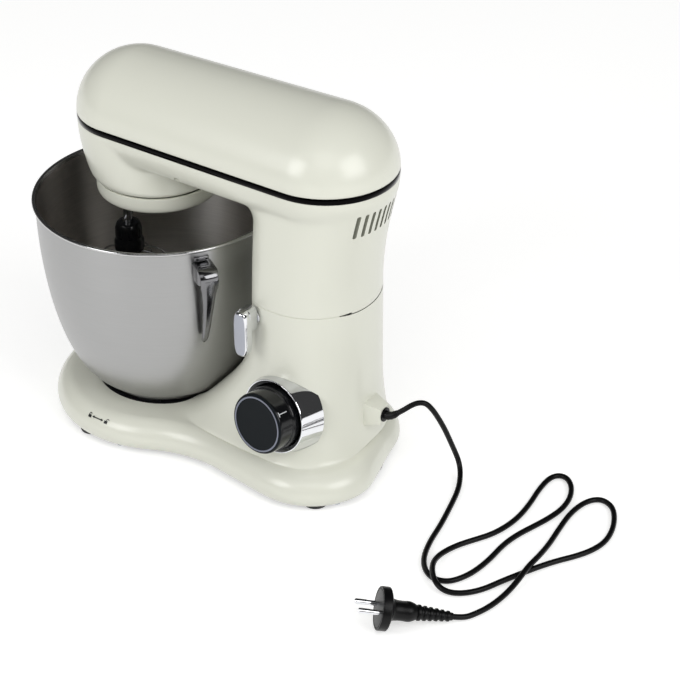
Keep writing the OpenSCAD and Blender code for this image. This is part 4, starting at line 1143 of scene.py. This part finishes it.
def makeLever(c):
    pad = oblong("releaseLever", c["pad"], c["padHalf"], 0.55,
                 ((68.2, 1.8), (68.7, 0.8), (69.6, 0), (77.2, 0), (78.2, 0.5), (78.8, 1.2), (79, 2.1)))
    ob = joinAll("releaseLever", [pad, oblong("c", c["neck"], c["neckHalf"], 0.45, ((60.9, 0.8), (61.5, 0), (71, 0)))])
    finish(ob, chromePlate, 30)
    ob.data.materials.append(leverSatin)
    for f in ob.data.polygons:
        if f.normal.x > 0.85 and f.center.x > c["satinFrom"] * mm:
            f.material_index = 1
    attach(ob, "lever")
    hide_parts("release_lever")


def makeLatchBush():
    p = rounded([(3.2, 44), (5.9, 44), (5.9, 60.3, 0.4), (3.2, 60.3, 0.3)], 0.3) + [(3.2, 44)]
    bush = alongX(turned("latchBush", p, segments=64), leverPin)
    finish(bush, chromePlate, 30)
    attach(bush, "base")
    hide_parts("latch_bush")


makeKnob(knob)
makeKnobRing(knob)
makeKnobPointer(knob)
makeBezel()
makeLever(lever)
makeLatchBush()


relief = {"r": 4.3, "thin": 1.5, "rib": 0.25,
          "path": [(0, 172, 65), (0, 173.6, 65.05), (0, 175.3, 65.2), (-0.1, 176.8, 65.6), (-0.3, 178.3, 66.2),
                   (-0.65, 179.7, 66.9), (-1.1, 181, 67.8), (-1.8, 182.2, 68.65), (-2.5, 183.3, 69.5)]}


# Flange in the outlet block and a ribbed sleeve that bends up along the lead
def makeRelief(c):
    p = [(0, -14), (4.9, -14, 0.3), (4.9, 0), (6.6, 0, 0.3), (6.6, 1.4, 0.5), (0, 1.4)]
    flange = placed(turned("leadRelief", rounded(p, 0.3), segments=64), (0, 171, outletZ), (-90, "X"))
    path = [Vector(q) for q in c["path"]]
    last = len(path) - 1
    rings = []
    for i, q in enumerate(path):
        d = (path[min(i + 1, last)] - path[max(i - 1, 0)]).normalized()
        side = d.cross(Vector((1, 0, 0))).normalized()
        other = d.cross(side)
        r = c["r"] - c["thin"] * (i / last) ** 0.8 + (c["rib"] if i % 2 == 0 and 0 < i < last else 0)
        rings.append([tuple(q + side * r * math.cos(a) + other * r * math.sin(a)) for a in turns(48)])
    ob = joinAll("leadRelief", [flange, lofted("c", rings)])
    finish(ob, rubberBlack, 40)
    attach(ob, "base")
    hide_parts("cord_gland")


makeRelief(relief)
print("controls made")


# ---- stage and light ----

studio = {"floor": (0.84, 0.84, 0.83, 1), "floorGlow": 0.48, "sky": 0.44, "mirroredSky": 0.05,
          # name, azimuth, elevation, distance, size, power
          "boxes": [("boxLeft", -17, 26, 2.0, (0.85, 0.95), 11.5), ("boxRight", 80, 28, 2.2, (1.25, 1.25), 17.5),
                    ("boxFront", 32, 48, 3.0, (1.6, 1.6), 8)]}


def makeStage(c):
    deselectAll()
    bpy.ops.mesh.primitive_plane_add(size=12, location=(0, 0, -0.0004))
    floor = rename(bpy.context.object, "studioFloor")
    m, t, p = startMaterial("studioFloor", {"Base Color": c["floor"], "Roughness": 0.8})
    path = node(t, "LightPath")
    mirrored = math2(t, "MAXIMUM", path.outputs["Is Glossy Ray"], path.outputs["Is Transmission Ray"])
    seen = math2(t, "MAXIMUM", path.outputs["Is Camera Ray"], mirrored)
    glow = node(t, "Emission", {"Color": (1, 1, 1, 1), "Strength": math2(t, "MULTIPLY", seen, c["floorGlow"])})
    both = node(t, "AddShader", {0: p.outputs[0], 1: glow.outputs[0]})
    t.links.new(both.outputs[0], t.nodes["Material Output"].inputs["Surface"])
    floor.data.materials.append(m)


def softBox(name, azimuth, elevation, away, size, power, aim=(0, 0, 0.2)):
    a, e = math.radians(azimuth), math.radians(elevation)
    toBox = Vector((math.cos(a) * math.cos(e), math.sin(a) * math.cos(e), math.sin(e)))
    at = Vector(aim) + toBox * away
    data = bpy.data.lights.new(name, "AREA")
    data.shape, data.size, data.size_y, data.energy = "RECTANGLE", size[0], size[1], power
    ob = newObject(name, data)
    ob.location = at
    ob.rotation_euler = (Vector(aim) - at).to_track_quat("-Z", "Y").to_euler()


def makeLight(c):
    for box in c["boxes"]:
        softBox(*box)
    w = bpy.data.worlds.new("studio")
    bpy.context.scene.world = w
    w.use_nodes = True
    t = w.node_tree
    sky = t.nodes["Background"]
    sky.inputs["Color"].default_value = (1, 1, 1, 1)
    path = node(t, "LightPath")  # mirrors see a dark room
    strength = remap(t, path.outputs["Is Glossy Ray"], 0, 1, c["sky"], c["mirroredSky"])
    t.links.new(strength, sky.inputs["Strength"])


makeStage(studio)
makeLight(studio)
scene = bpy.context.scene
scene.view_settings.view_transform = "Standard"
